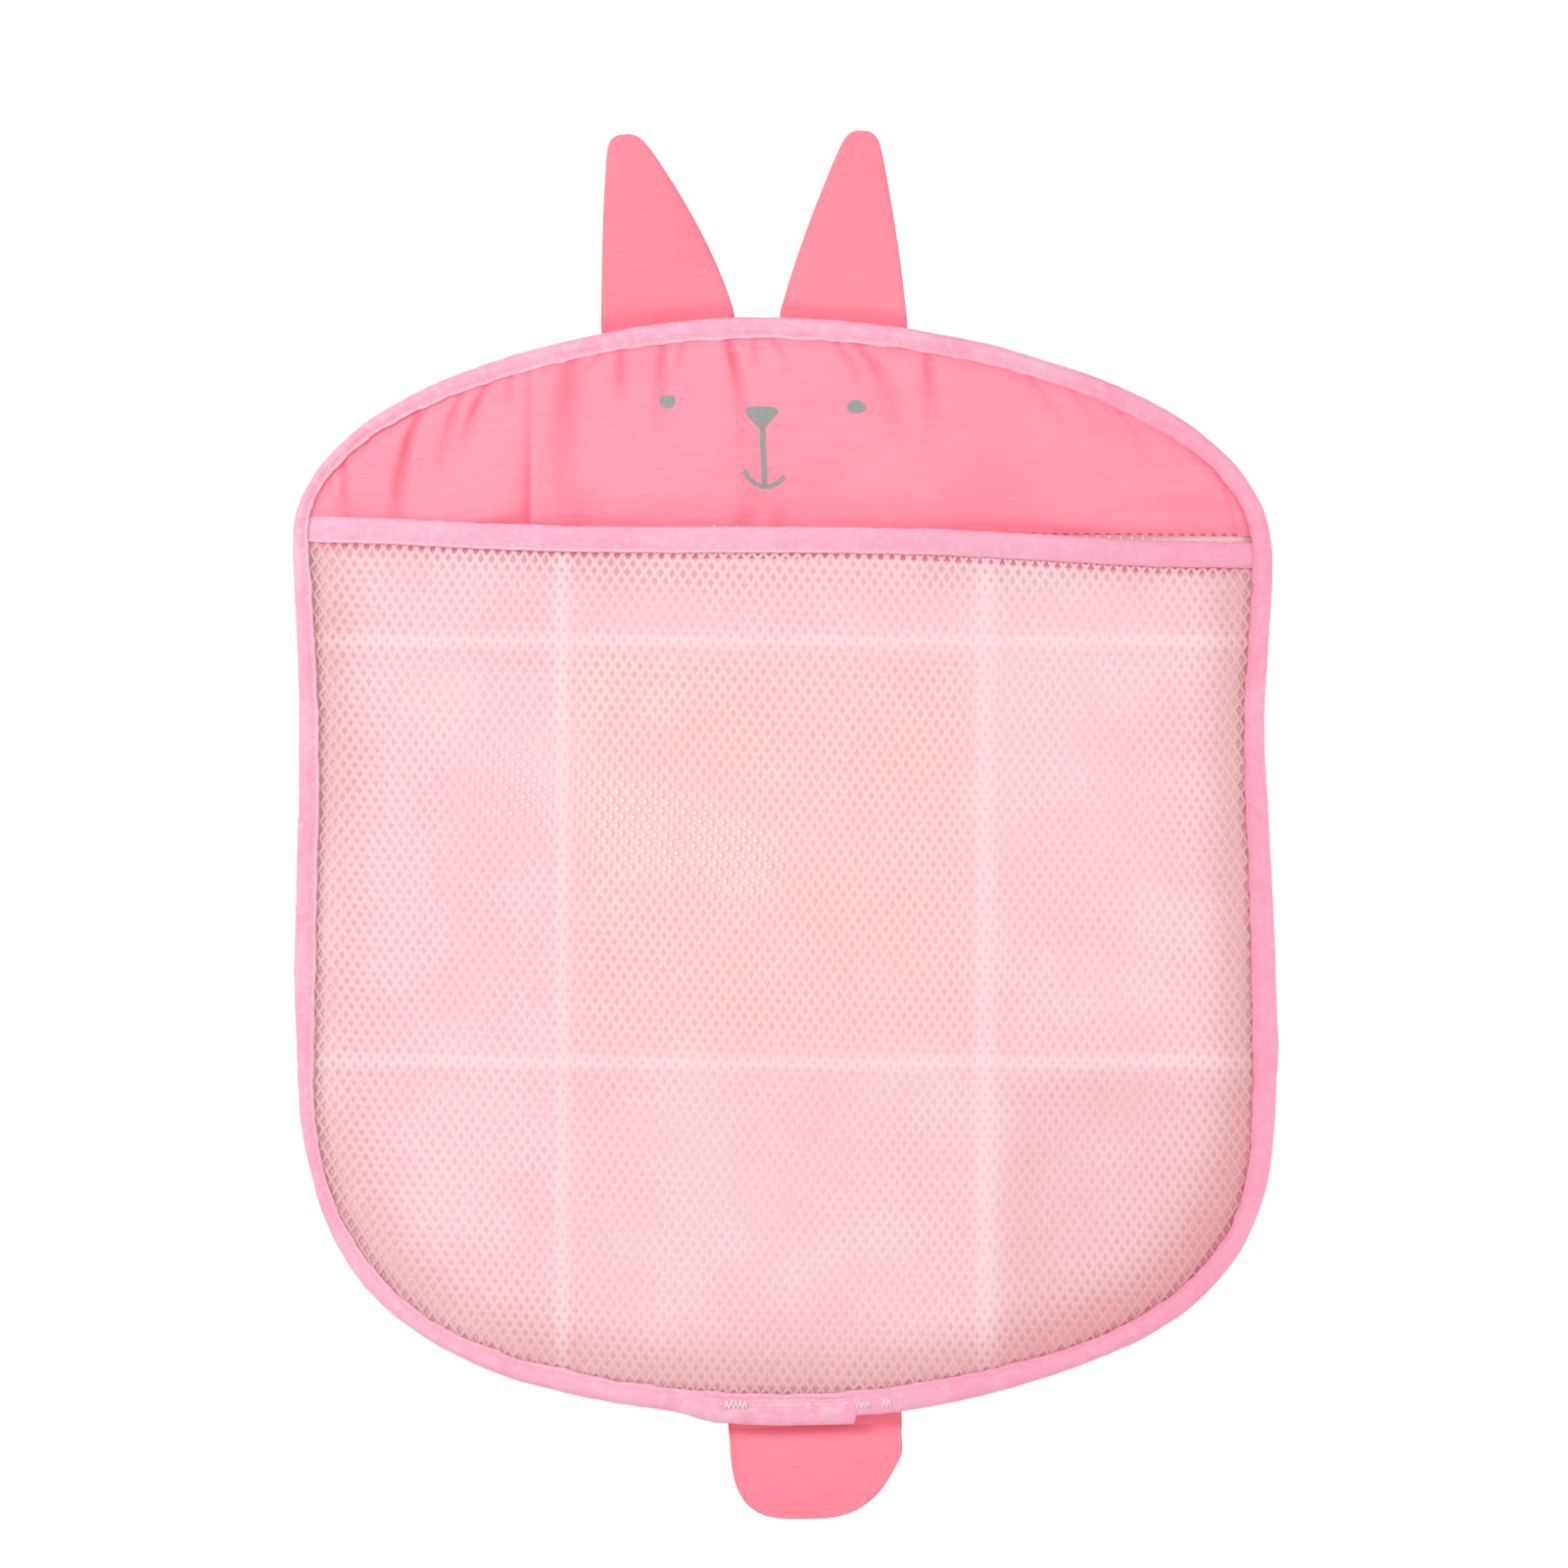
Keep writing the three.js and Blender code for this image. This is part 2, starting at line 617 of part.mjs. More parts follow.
// Hook: a collar on the cup's neck and a crook under it that takes the loop
const prongAt = [yOf(prongFront), yOf(prongBack)];
const legAt = [yOf(plateFront), yOf(plateBack)];
const crookZ = loopTop - loopWidth + crookSlack;
const crookInner = (legAt[0] - prongAt[1]) / 2;
const crookOuter = (legAt[1] - prongAt[0]) / 2;
const hookShape = new THREE.Shape();
hookShape.moveTo(legAt[1], 0);
hookShape.lineTo(legAt[0], 0);
hookShape.lineTo(legAt[0], crookZ);
hookShape.absarc(prongAt[1] + crookInner, crookZ, crookInner, 0, -Math.PI, true);
const tipRadius = prongThickness / 2;
hookShape.lineTo(prongAt[1], prongTop - tipRadius);
hookShape.absarc(prongAt[1] - tipRadius, prongTop - tipRadius, tipRadius, 0, Math.PI, false);
hookShape.lineTo(prongAt[0], crookZ);
hookShape.absarc(prongAt[0] + crookOuter, crookZ, crookOuter, Math.PI, 2 * Math.PI, false);
const hookSegments = 10;
const roundSegments = 28;
const hookSettings = { depth: hookWidth, bevelEnabled: false, curveSegments: hookSegments };
const hookBlank = new THREE.ExtrudeGeometry(hookShape, hookSettings);
hookBlank.translate(0, 0, -hookWidth / 2);
hookBlank.applyMatrix4(new THREE.Matrix4().set(0, 0, 1, 0, 1, 0, 0, 0, 0, 1, 0, 0, 0, 0, 0, 1));
const collarRadius = collarDiameter / 2;
const collar = new THREE.CylinderGeometry(collarRadius, collarRadius, plateThickness, roundSegments);
collar.translate(0, yOf(plateFront) + plateThickness / 2, 0);
const neckRadius = neckDiameter / 2;
const holeRadius = neckRadius + layerGap;
const neckHole = new THREE.CylinderGeometry(holeRadius, holeRadius, 3 * plateThickness, roundSegments);
neckHole.translate(0, yOf(plateFront) + plateThickness / 2, 0);
const hookGeometry = geometryOf(solidOf(hookBlank).add(solidOf(collar)).subtract(solidOf(neckHole)));

// Suction cup: a thin dome with a flat rim on the wall, a neck for the hook, a head and a pull tab
const rim = cupDiameter / 2;
const headBack = -yOf(headFront + headThickness);
const headTip = -yOf(headFront);
// Shares of the rim's radius with shares of the hollow, or of the cup's depth, along the dome
const domeInside = [[0, 1], [0.36, 0.86], [0.66, 0.42]];
const domeOutside = [0.6, 0.74];
const shoulderShare = 0.84;
const headRadius = headDiameter / 2;
const headFlatShare = 0.72;
const cupProfile = [
  ...domeInside.map(([out, deep]) => [rim * out, cupHollow * deep]),
  [rim - cupRimWidth, 0], [rim, 0], [rim, cupRimThickness], [rim * shoulderShare, cupShoulder],
  [rim * domeOutside[0], cupDepth * domeOutside[1]], [neckRadius + neckFlare, cupDepth],
  [neckRadius, cupDepth], [neckRadius, headBack], [headRadius, headBack],
  [headRadius, headBack + headThickness / 2], [headRadius * headFlatShare, headTip], [0, headTip],
].map(([radius, depth]) => new THREE.Vector2(radius, depth));
const cupDome = new THREE.LatheGeometry(cupProfile, roundSegments);
cupDome.rotateZ(Math.PI);
const pullTab = new THREE.BoxGeometry(pullTabWidth, pullTabThickness, pullTabLength + pullTabRoot);
pullTab.translate(0, -pullTabThickness / 2, -rim - pullTabLength / 2 + pullTabRoot / 2);
const cupGeometry = geometryOf(solidOf(cupDome).add(solidOf(pullTab)));

for (const [side, sign] of [['left', -1], ['right', 1]]) {
  const station = new THREE.Group();
  station.position.x = sign * earSpacing / 2;
  organizer.add(station);
  const loop = new THREE.ExtrudeGeometry(loopShape, { depth: loopWidth, bevelEnabled: false });
  loop.translate(0, 0, loopTop - loopWidth);
  add(station, `hanging_loop_${side}`, loop, cloth(ribbonPink));
  add(station, `wall_hook_${side}`, hookGeometry.clone(), clear('#eef1f2', 0.25));
  add(station, `suction_cup_${side}`, cupGeometry.clone(), clear('#e6eaec', 0.15));
}

export default organizer;
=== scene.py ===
import math
from functools import partial

import bmesh
import bpy
import numpy as np
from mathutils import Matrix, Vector, kdtree, noise
from mathutils.bvhtree import BVHTree


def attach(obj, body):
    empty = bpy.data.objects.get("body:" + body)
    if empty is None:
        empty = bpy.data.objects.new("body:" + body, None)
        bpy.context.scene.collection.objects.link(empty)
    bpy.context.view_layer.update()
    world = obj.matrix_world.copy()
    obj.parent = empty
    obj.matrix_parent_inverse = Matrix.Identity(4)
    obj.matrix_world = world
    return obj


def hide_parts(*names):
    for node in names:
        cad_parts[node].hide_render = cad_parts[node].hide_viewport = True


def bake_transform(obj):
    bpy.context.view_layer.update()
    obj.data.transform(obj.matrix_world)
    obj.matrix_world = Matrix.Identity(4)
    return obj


# Bath toy organizer: a pink net bag with a rabbit's outline, hung on two suction cup hooks.
# Sizes in the dictionaries are millimetres, in the part's own frame: x right, y to the wall, z up.

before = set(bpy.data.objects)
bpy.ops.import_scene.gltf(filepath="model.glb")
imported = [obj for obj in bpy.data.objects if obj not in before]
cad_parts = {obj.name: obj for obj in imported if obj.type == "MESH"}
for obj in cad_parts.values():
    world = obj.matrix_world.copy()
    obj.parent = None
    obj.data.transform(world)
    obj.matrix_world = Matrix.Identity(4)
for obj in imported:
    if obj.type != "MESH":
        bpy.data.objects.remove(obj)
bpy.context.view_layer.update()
scene = bpy.context.scene
scene.view_settings.view_transform = "Standard"
mm = 0.001
print("frame:", len(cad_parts), "solids")


# Small tools

def linear(hexText):
    parts = [int(hexText[i:i + 2], 16) / 255 for i in (1, 3, 5)]
    return tuple(c / 12.92 if c <= 0.04045 else ((c + 0.055) / 1.055) ** 2.4 for c in parts) + (1.0,)


def addNode(tree, kind, settings=None, links=None):  # a link names a socket, or a node for its first output
    node = tree.nodes.new("ShaderNode" + kind)
    for key, value in (settings or {}).items():
        if isinstance(key, int) or key in node.inputs:
            node.inputs[key].default_value = value
        else:
            setattr(node, key, value)
    for key, source in (links or {}).items():
        tree.links.new(getattr(source, "outputs", [source])[0], node.inputs[key])
    return node


def perMetre(size):  # a pattern's scale for a size in mm
    return 1 / (size * mm)


def wavesPerMetre(period):  # a wave texture's scale for a period in mm
    return math.pi / 10 / (period * mm)


def ease(value, start, end):
    t = min(max((value - start) / (end - start), 0.0), 1.0)
    return t * t * (3 - 2 * t)


def hump(gap):
    return math.exp(-gap * gap)


def wander(x, z, size, seed):  # smooth noise, about -1 to 1, that changes over a size in mm
    return noise.noise(Vector((x / size, z / size, seed)))


def wanders(x, z, waves):  # an amount, a size and a seed for each wave
    return sum(amount * wander(x, z, size, seed) for amount, size, seed in waves)


def gridFaces(rows, columns, first=0, joinRows=False, joinColumns=False, turned=False):
    # The quads of a grid of points; where rows or columns are joined, the last meets the first
    faces = []
    for r in range(rows if joinRows else rows - 1):
        a, b = first + r * columns, first + (r + 1) % rows * columns
        for c in range(columns if joinColumns else columns - 1):
            d = (c + 1) % columns
            faces.append((a + c, b + c, b + d, a + d) if turned else (a + c, a + d, b + d, b + c))
    return faces


def makeObject(name, points, faces, material, tapeMap=None, deepness=None):
    mesh = bpy.data.meshes.new(name)
    mesh.from_pydata([(x * mm, y * mm, z * mm) for x, y, z in points], [], faces)
    if deepness is not None:  # painted shade at each point: how much darker its colour is painted where it lies in folds, in the shade of other parts, or turned from the light
        mesh.attributes.new("deepness", "FLOAT", "POINT").data.foreach_set("value", deepness)
    if tapeMap is not None:  # a map in metres: along the tape, and across it
        layer = mesh.uv_layers.new(name="tape")
        for loop in mesh.loops:
            layer.data[loop.index].uv = tapeMap[loop.vertex_index]
    mesh.validate()
    mesh.polygons.foreach_set("use_smooth", [True] * len(mesh.polygons))
    mesh.materials.append(material)
    obj = bpy.data.objects.new(name, mesh)
    scene.collection.objects.link(obj)
    return obj


def closeShell(obj):  # joins doubled points, caps open ends and turns the faces out
    shape = bmesh.new()
    shape.from_mesh(obj.data)
    bmesh.ops.remove_doubles(shape, verts=shape.verts, dist=1e-6)
    bmesh.ops.holes_fill(shape, edges=[edge for edge in shape.edges if edge.is_boundary])
    bmesh.ops.recalc_face_normals(shape, faces=shape.faces)
    shape.to_mesh(obj.data)
    shape.free()


def evaluated(obj):
    return obj.evaluated_get(bpy.context.evaluated_depsgraph_get())


def onBag(slot, *pieces):  # these move with the bag
    for piece in pieces:
        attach(piece, "bag")


# Materials: each is built from place, the object's own coordinates in metres

def makeMaterial(name, build, look):
    material = bpy.data.materials.new(name)
    material.use_nodes = True
    material.node_tree.nodes.clear()
    add = partial(addNode, material.node_tree)
    place = add("TexCoord").outputs["Object"]
    add("OutputMaterial", links={"Surface": build(add, place, look)})
    return material


def addSurface(add, look, gloss, relief, colour=None):
    # Roughness runs over a range by the gloss pattern; the relief pattern has a strength and a depth in mm
    (low, high), (strength, depth) = look["rough"], look["relief"]
    rough = add("MapRange", {"To Min": low, "To Max": high}, {"Value": gloss})
    bump = add("Bump", {"Strength": strength, "Distance": depth * mm}, {"Height": relief})
    links = {"Roughness": rough, "Normal": bump}
    if colour is not None:
        links["Base Color"] = colour
    return add("BsdfPrincipled", look["shader"], links), bump


def unevenDye(add, look, first, second):  # two patterns, half and half, from a deep colour to a pale one
    blend = add("MixRGB", {0: 0.5}, {1: first, 2: second})
    tone = add("MapRange", {"From Min": 0.36, "From Max": 0.64}, {"Value": blend})
    return add("MixRGB", {1: linear(look["deep"]), 2: linear(look["pale"])}, {0: tone})


creases = {"across": ((-68.2, 2.8), (81.0, 4.0)), "up": ((-110.3, 2.6), (-258.9, 2.6))}  # a place and a width
netLook = {
    # The crease colour is a painted highlight along the fold lines, the middle square's colour is painted shade,
    # and the deep colour is the colour of painted shade
    "yarn": "#FFE6EA", "shade": "#FFDDE2", "crease": "#FFF2F4", "peach": "#FFDFDC", "deep": "#EBA6AC",
    "cloud": 38.0, "filament": 0.7, "fade": 12.0, "through": 0.3, "rough": (0.7, 0.95), "relief": (0.35, 0.15),
    "shader": {"IOR": 1.5, "Sheen Weight": 0.2, "Sheen Roughness": 0.5},
}
clothLook = {
    "streakLong": 11.0, "streakHigh": 0.7, "cloud": 45.0, "thread": 0.8, "rough": (0.58, 0.82),
    "relief": (0.3, 0.12),
    "shader": {"IOR": 1.5, "Specular IOR Level": 0.3, "Sheen Weight": 0.15, "Sheen Roughness": 0.4},
}
tapeLook = {
    # The edge colour paints the lip's highlight and the pale slubs, the under colour paints shade on the turned
    # edges, and the deepest pink paints shade on the lip
    "deep": "#FFADC9", "pale": "#FFC4DB", "edge": "#FFDBE9", "through": "#FF9BB4", "under": "#F58CA3",
    "strong": "#FF8CB0", "cloud": 22.0, "fibreLong": 7.0, "fibreWide": 0.8, "rib": 1.1, "lip": 2.4, "slub": 2.6,
    "slubby": 0.35, "turned": 0.5, "flap": 60.0, "rough": (0.45, 0.65), "relief": (0.25, 0.1),
    "shader": {"IOR": 1.5, "Specular IOR Level": 0.35, "Sheen Weight": 0.2, "Sheen Roughness": 0.3},
}
threadLook = {
    "twist": 0.5, "rough": (0.6, 0.85), "relief": (0.4, 0.08), "shader": {"IOR": 1.5, "Sheen Weight": 0.2},
}
inkLook = {
    "film": "#979D9C", "cloth": "#E0A2AE", "grain": 0.9, "rough": (0.55, 0.8), "relief": (0.25, 0.05),
    "shader": {"IOR": 1.5, "Specular IOR Level": 0.3},
}
vinylLook = {
    "peel": 2.2, "rough": (0.05, 0.2), "relief": (0.12, 0.1),
    "shader": {"Base Color": linear("#EAF2F3"), "IOR": 1.53, "Transmission Weight": 0.92},
}
plasticLook = {
    "deep": "#E9ECEC", "pale": "#F6F8F8", "grain": 0.6, "cloud": 9.0, "rough": (0.28, 0.45),
    "relief": (0.1, 0.05),
    "shader": {"IOR": 1.49, "Subsurface Weight": 0.15, "Subsurface Radius": (0.002, 0.002, 0.002),
               "Subsurface Scale": 1.0},
}


def knittedNet(add, place, look):
    # Warp-knitted polyester: dull, fluffy yarn that lets light through, with a painted highlight along the fold
    # lines
    axes = add("SeparateXYZ", links={0: place})
    cloud = add("TexNoise", {"Scale": perMetre(look["cloud"]), "Detail": 3.0}, {"Vector": place})
    filament = add("TexNoise", {"Scale": perMetre(look["filament"]), "Detail": 2.0}, {"Vector": place})
    tone = add("MapRange", {"From Min": 0.35, "From Max": 0.65}, {"Value": cloud})
    colour = add("MixRGB", {1: linear(look["shade"]), 2: linear(look["yarn"])}, {0: tone})

    def away(axis, line):  # distance from a line across an axis
        off = add("Math", {"operation": "SUBTRACT", 1: line * mm}, {0: axes.outputs[axis]})
        return add("Math", {"operation": "ABSOLUTE"}, {0: off})

    # Painted shade: the middle square between the fold lines has a warmer, darker tint, as the light falls
    # differently on that facet of the fold
    inside = []
    for axis, ((high, _), (low, _)) in (("X", creases["across"][::-1]), ("Z", creases["up"])):
        half = (high - low) / 2
        inside.append(add("MapRange", {
            "From Min": half * mm, "From Max": (half - look["fade"]) * mm, "To Max": 0.75,
        }, {"Value": away(axis, (low + high) / 2)}))
    square = add("Math", {"operation": "MULTIPLY"}, dict(enumerate(inside)))
    colour = add("MixRGB", {2: linear(look["peach"])}, {0: square, 1: colour})
    # Fold lines from packing, painted paler along each line as a highlight
    for axis, lines in (("X", creases["across"]), ("Z", creases["up"])):
        for line, wide in lines:
            band = add("MapRange", {
                "interpolation_type": "SMOOTHSTEP", "From Min": 1.5 * wide * mm, "From Max": 0.2 * wide * mm,
                "To Max": 0.5}, {"Value": away(axis, line)})
            colour = add("MixRGB", {2: linear(look["crease"])}, {0: band, 1: colour})
    # Painted shade: the deep colour darkens the net on the sides turned from the light and in its own shadow
    deep = add("Attribute", {"attribute_name": "deepness"}).outputs["Fac"]
    colour = add("MixRGB", {2: linear(look["deep"])}, {0: deep, 1: colour})
    yarn, bump = addSurface(add, look, filament, filament, colour)
    light = add("BsdfTranslucent", links={"Color": colour, "Normal": bump})
    return add("MixShader", {0: look["through"]}, {1: yarn, 2: light})


def wovenPolyester(add, place, look):
    # Plain-woven polyester: a dull sheen, and uneven yarns that show as faint streaks across
    long, high = perMetre(look["streakLong"]), perMetre(look["streakHigh"])
    stretched = add("Mapping", {"Scale": (long, long, high)}, {"Vector": place})
    streak = add("TexNoise", {"Scale": 1.0, "Detail": 3.0}, {"Vector": stretched})
    cloud = add("TexNoise", {"Scale": perMetre(look["cloud"]), "Detail": 3.0}, {"Vector": place})
    colour = unevenDye(add, look, streak, cloud)
    # Painted shade: the colour is drawn towards a deeper coral in folds, in the shade of the binding and ribbon,
    # and on sides turned from the light
    fold = add("Attribute", {"attribute_name": "deepness"}).outputs["Fac"]
    colour = add("MixRGB", {2: linear(look["fold"])}, {0: fold, 1: colour})
    # Threads lie 0.3 mm apart, drawn at 0.8 mm to show
    threads = [add("TexWave", {
        "bands_direction": way, "Scale": wavesPerMetre(look["thread"]),
    }, {"Vector": place}).outputs["Fac"] for way in ("X", "Z")]
    weave = add("Math", {"operation": "MULTIPLY"}, dict(enumerate(threads)))
    height = add("Math", {"operation": "MULTIPLY_ADD", 1: 0.6}, {0: streak, 2: weave})
    return addSurface(add, look, streak, height, colour)[0]


def bindingTape(add, place, look):
    # Folded polyester tape: smoother than the panels, a soft shine on its crown and a paler edge, painted as a
    # highlight on one side
    tape = add("UVMap", {"uv_map": "tape"})
    across = add("SeparateXYZ", links={0: tape}).outputs["Y"]
    # Fibre streaks along the tape vary the dye and also paint a satin sheen
    drawn = add("Mapping", {
        "Scale": (perMetre(look["fibreLong"]), perMetre(look["fibreWide"]), 1.0)}, {"Vector": tape})
    fibre = add("TexNoise", {"Scale": 1.0, "Detail": 3.0}, {"Vector": drawn})
    cloud = add("TexNoise", {"Scale": perMetre(look["cloud"]), "Detail": 2.0}, {"Vector": place})
    colour = unevenDye(add, look, fibre, cloud)
    # Pale slubs in the yarn, which also paint a satin sheen in spots
    slub = add("TexNoise", {"Scale": perMetre(look["slub"]), "Detail": 2.0}, {"Vector": place})
    slubby = add("MapRange", {"From Min": 0.5, "From Max": 0.66, "To Max": look["slubby"]}, {"Value": slub})
    colour = add("MixRGB", {2: linear(look["edge"])}, {0: slubby, 1: colour})
    # The lip is painted paler than the rest on one side of the bag, as a highlight where the light falls, and a
    # deeper pink on the other, as shade
    deep = add("Attribute", {"attribute_name": "deepness"}).outputs["Fac"]
    lip = add("MapRange", {"From Min": look["lip"] * mm, "From Max": 0.5 * look["lip"] * mm}, {"Value": across})
    palest = add("MapRange", {"From Max": 0.3, "To Min": 0.5, "To Max": 0.0}, {"Value": deep})
    pale = add("Math", {"operation": "MULTIPLY"}, {0: lip, 1: palest})
    colour = add("MixRGB", {2: linear(look["edge"])}, {0: pale, 1: colour})
    more = add("MapRange", {"To Min": 1.0, "To Max": 1.7}, {"Value": lip})
    strong = add("Math", {"operation": "MULTIPLY"}, {0: deep, 1: more})
    colour = add("MixRGB", {2: linear(look["strong"])}, {0: strong, 1: colour})
    # Both edges of the tape are turned under, and are painted redder there as shade
    for start, end in ((look["turned"], 0.4 * look["turned"]), (look["flap"] - 0.8, look["flap"])):
        under = add("MapRange", {"From Min": start * mm, "From Max": end * mm, "To Max": 0.85}, {"Value": across})
        colour = add("MixRGB", {2: linear(look["under"])}, {0: under, 1: colour})
    # Cross ribs lie 0.5 mm apart, drawn at 1.1 mm to show
    ribs = add("TexWave", {
        "bands_direction": "X", "Scale": wavesPerMetre(look["rib"])}, {"Vector": tape}).outputs["Fac"]
    height = add("Math", {"operation": "ADD"}, {0: ribs, 1: fibre})
    cloth, bump = addSurface(add, look, fibre, height, colour)
    light = add("BsdfTranslucent", {"Color": linear(look["through"])}, {"Normal": bump})
    return add("MixShader", {0: 0.1}, {1: cloth, 2: light})


def sewingThread(add, place, look):
    # Spun polyester thread: matt, with the twist as fine slanting ridges
    twist = add("TexWave", {
        "bands_direction": "DIAGONAL", "Scale": wavesPerMetre(look["twist"]), "Distortion": 1.5,
    }, {"Vector": place}).outputs["Fac"]
    colour = add("MixRGB", {1: linear(look["deep"]), 2: linear(look["pale"])}, {0: twist})
    return addSurface(add, look, twist, twist, colour)[0]


def screenInk(add, place, look):
    # Screen-printed ink: a thin matt film, broken where the high threads come through
    grain = add("TexNoise", {"Scale": perMetre(look["grain"]), "Detail": 2.0}, {"Vector": place})
    worn = add("MapRange", {"From Min": 0.56, "From Max": 0.7, "To Max": 0.6}, {"Value": grain})
    colour = add("MixRGB", {1: linear(look["film"]), 2: linear(look["cloth"])}, {0: worn})
    return addSurface(add, look, grain, grain, colour)[0]


def clearVinyl(add, place, look):
    # Moulded soft PVC: clear with a faint cool tint, and the slight orange peel of its mould
    peel = add("TexNoise", {"Scale": perMetre(look["peel"]), "Detail": 2.0}, {"Vector": place})
    return addSurface(add, look, peel, peel)[0]


def mouldedPlastic(add, place, look):
    # Moulded polypropylene: milky white with a waxy gloss and a fine spark-eroded grain
    grain = add("TexNoise", {"Scale": perMetre(look["grain"]), "Detail": 2.0}, {"Vector": place})
    cloud = add("TexNoise", {"Scale": perMetre(look["cloud"]), "Detail": 2.0}, {"Vector": place})
    colour = add("MixRGB", {1: linear(look["deep"]), 2: linear(look["pale"])}, {0: cloud})
    return addSurface(add, look, grain, grain, colour)[0]


frontNetCloth = makeMaterial("knitted net, pocket", knittedNet, netLook)
backNetCloth = makeMaterial("knitted net, back", knittedNet, netLook)
faceCloth, earCloth, tailCloth = (
    makeMaterial("woven polyester, " + part, wovenPolyester, {
        **clothLook, "deep": deep, "pale": pale, "fold": fold})
    for part, deep, pale, fold in (
        ("face", "#FD95AC", "#FFA2B7", "#FB7990"), ("ears", "#FD869A", "#FF93A6", "#F87086"),
        ("tail", "#FD8398", "#FF91A4", "#F4667C")))
edgeTape = makeMaterial("binding tape", bindingTape, tapeLook)
# On the mouth ribbon the redder colour paints the shade on its back flap, behind the net
mouthTape = makeMaterial("binding tape, mouth", bindingTape, {
    **tapeLook, "deep": "#FFAFCB", "pale": "#FFC4DC", "under": "#F58CA2", "flap": 19.3})
# The lap's stronger pale slubs also paint its satin sparkle
lapTape = makeMaterial("binding tape, lap", bindingTape, {
    **tapeLook, "pale": "#FFC9DE", "cloud": 9.0, "slub": 4.6, "slubby": 0.6})
# The coral thread is on a real seam at the panel's hem, and is dark enough that it also paints the shade in the
# net holes along that hem
seamThread, tackThread, hemSeamShadeThread = (
    makeMaterial("sewing thread, " + tone, sewingThread, {**threadLook, "deep": deep, "pale": pale})
    for tone, deep, pale in (("pink", "#F7A9C2", "#FFD0E0"), ("pale", "#FFDCE8", "#FFF0F5"),
                             ("coral_hem_shade", "#C94A63", "#DE6B82")))
faceInk = makeMaterial("screen ink", screenInk, inkLook)
cupVinyl = makeMaterial("clear PVC", clearVinyl, vinylLook)
hookPlastic = makeMaterial("moulded polypropylene", mouldedPlastic, plasticLook)
print("materials:", len(bpy.data.materials))


# Outline of the bag, clockwise from the top, with a width, a height and the handles of its curves

bag = {
    "width": 349.3, "height": 388.0, "setOver": 10.0, "top": 4.0, "steps": 600, "nearby": 0.6,
    "anchors": (
        (-0.029, 0.0, (1, 0), 0.223, 0.254), (0.495, 0.217, (0, -1), 0.138, 0.05),
        (0.487, 0.364, (0, -1), 0.041, 0.084), (0.5, 0.726, (0, -1), 0.189, 0.203),
        (-0.013, 1.0, (-1, 0), 0.28, 0.33), (-0.495, 0.678, (0, 1), 0.223, 0.103),
        (-0.493, 0.389, (0, 1), 0.039, 0.092), (-0.5, 0.2, (0, 1), 0.045, 0.117),
    ),
}


def traceOutline():
    span = np.array([bag["width"], bag["height"]])
    corner = np.array([bag["setOver"], bag["top"]])
    t = np.linspace(0, 1, bag["steps"], endpoint=False)[:, None]
    anchors = bag["anchors"]
    rows = []
    for (x, z, way, _, after), (nextX, nextZ, nextWay, before, _) in zip(anchors, anchors[1:] + anchors[:1]):
        start = corner + np.array([x, -z]) * span
        end = corner + np.array([nextX, -nextZ]) * span
        first = start + np.array(way) * after * span
        second = end - np.array(nextWay) * before * span
        rows.append(
            (1 - t) ** 3 * start + 3 * (1 - t) ** 2 * t * first + 3 * (1 - t) * t * t * second + t ** 3 * end)
    return np.concatenate(rows)


outline = traceOutline()
runs = np.concatenate([[0], np.cumsum(np.linalg.norm(np.roll(outline, -1, 0) - outline, axis=1))])
edgeLength = runs[-1]
closedOutline = np.concatenate([outline, outline[:1]])


def edgeAt(run):
    run = run % edgeLength
    return np.array([np.interp(run, runs, closedOutline[:, 0]), np.interp(run, runs, closedOutline[:, 1])])


def edgeFrame(run):  # a point of the edge and the way in from it
    along = edgeAt(run + bag["nearby"]) - edgeAt(run - bag["nearby"])
    along = along / np.linalg.norm(along)
    return edgeAt(run), np.array([along[1], -along[0]])


def edgePoint(run, inset):
    point, inward = edgeFrame(run)
    return point + inward * inset


def runWhere(near, distance):
    best = min((k for k in range(len(outline)) if near(outline[k])), key=lambda k: distance(outline[k]))
    return float(runs[best])


def runOnSide(sign, z):
    return runWhere(lambda p: sign * (p[0] - bag["setOver"]) > 0, lambda p: abs(p[1] - z))


inwards = np.array([edgeFrame(run)[1] for run in runs[:-1]])
edgeTree = kdtree.KDTree(len(outline))
for k, (x, z) in enumerate(outline):
    edgeTree.insert((x, 0, z), k)
edgeTree.balance()


def insetOf(x, z):
    _, k, _ = edgeTree.find((x, 0, z))
    return float((x - outline[k][0]) * inwards[k][0] + (z - outline[k][1]) * inwards[k][1])


def roundTheBag(x, z):  # how far to the right and how far down a place lies, each 0 to 1
    right = (x - bag["setOver"]) / (bag["width"] / 2)
    down = (bag["top"] - z) / (bag["height"] / 2) - 1
    return max(right, 0.0), max(down, 0.0)


def sizeAndArea(points):  # of a flat piece of cloth, in metres
    x, z = points[:, 0], points[:, 1]
    area = abs(float(np.dot(x, np.roll(z, -1)) - np.dot(z, np.roll(x, -1)))) / 2 * mm * mm
    return (float(np.ptp(x)) * mm, float(np.ptp(z)) * mm), area


# Pocket: its mouth line is the lower edge of the ribbon, and its net stands off as a belly

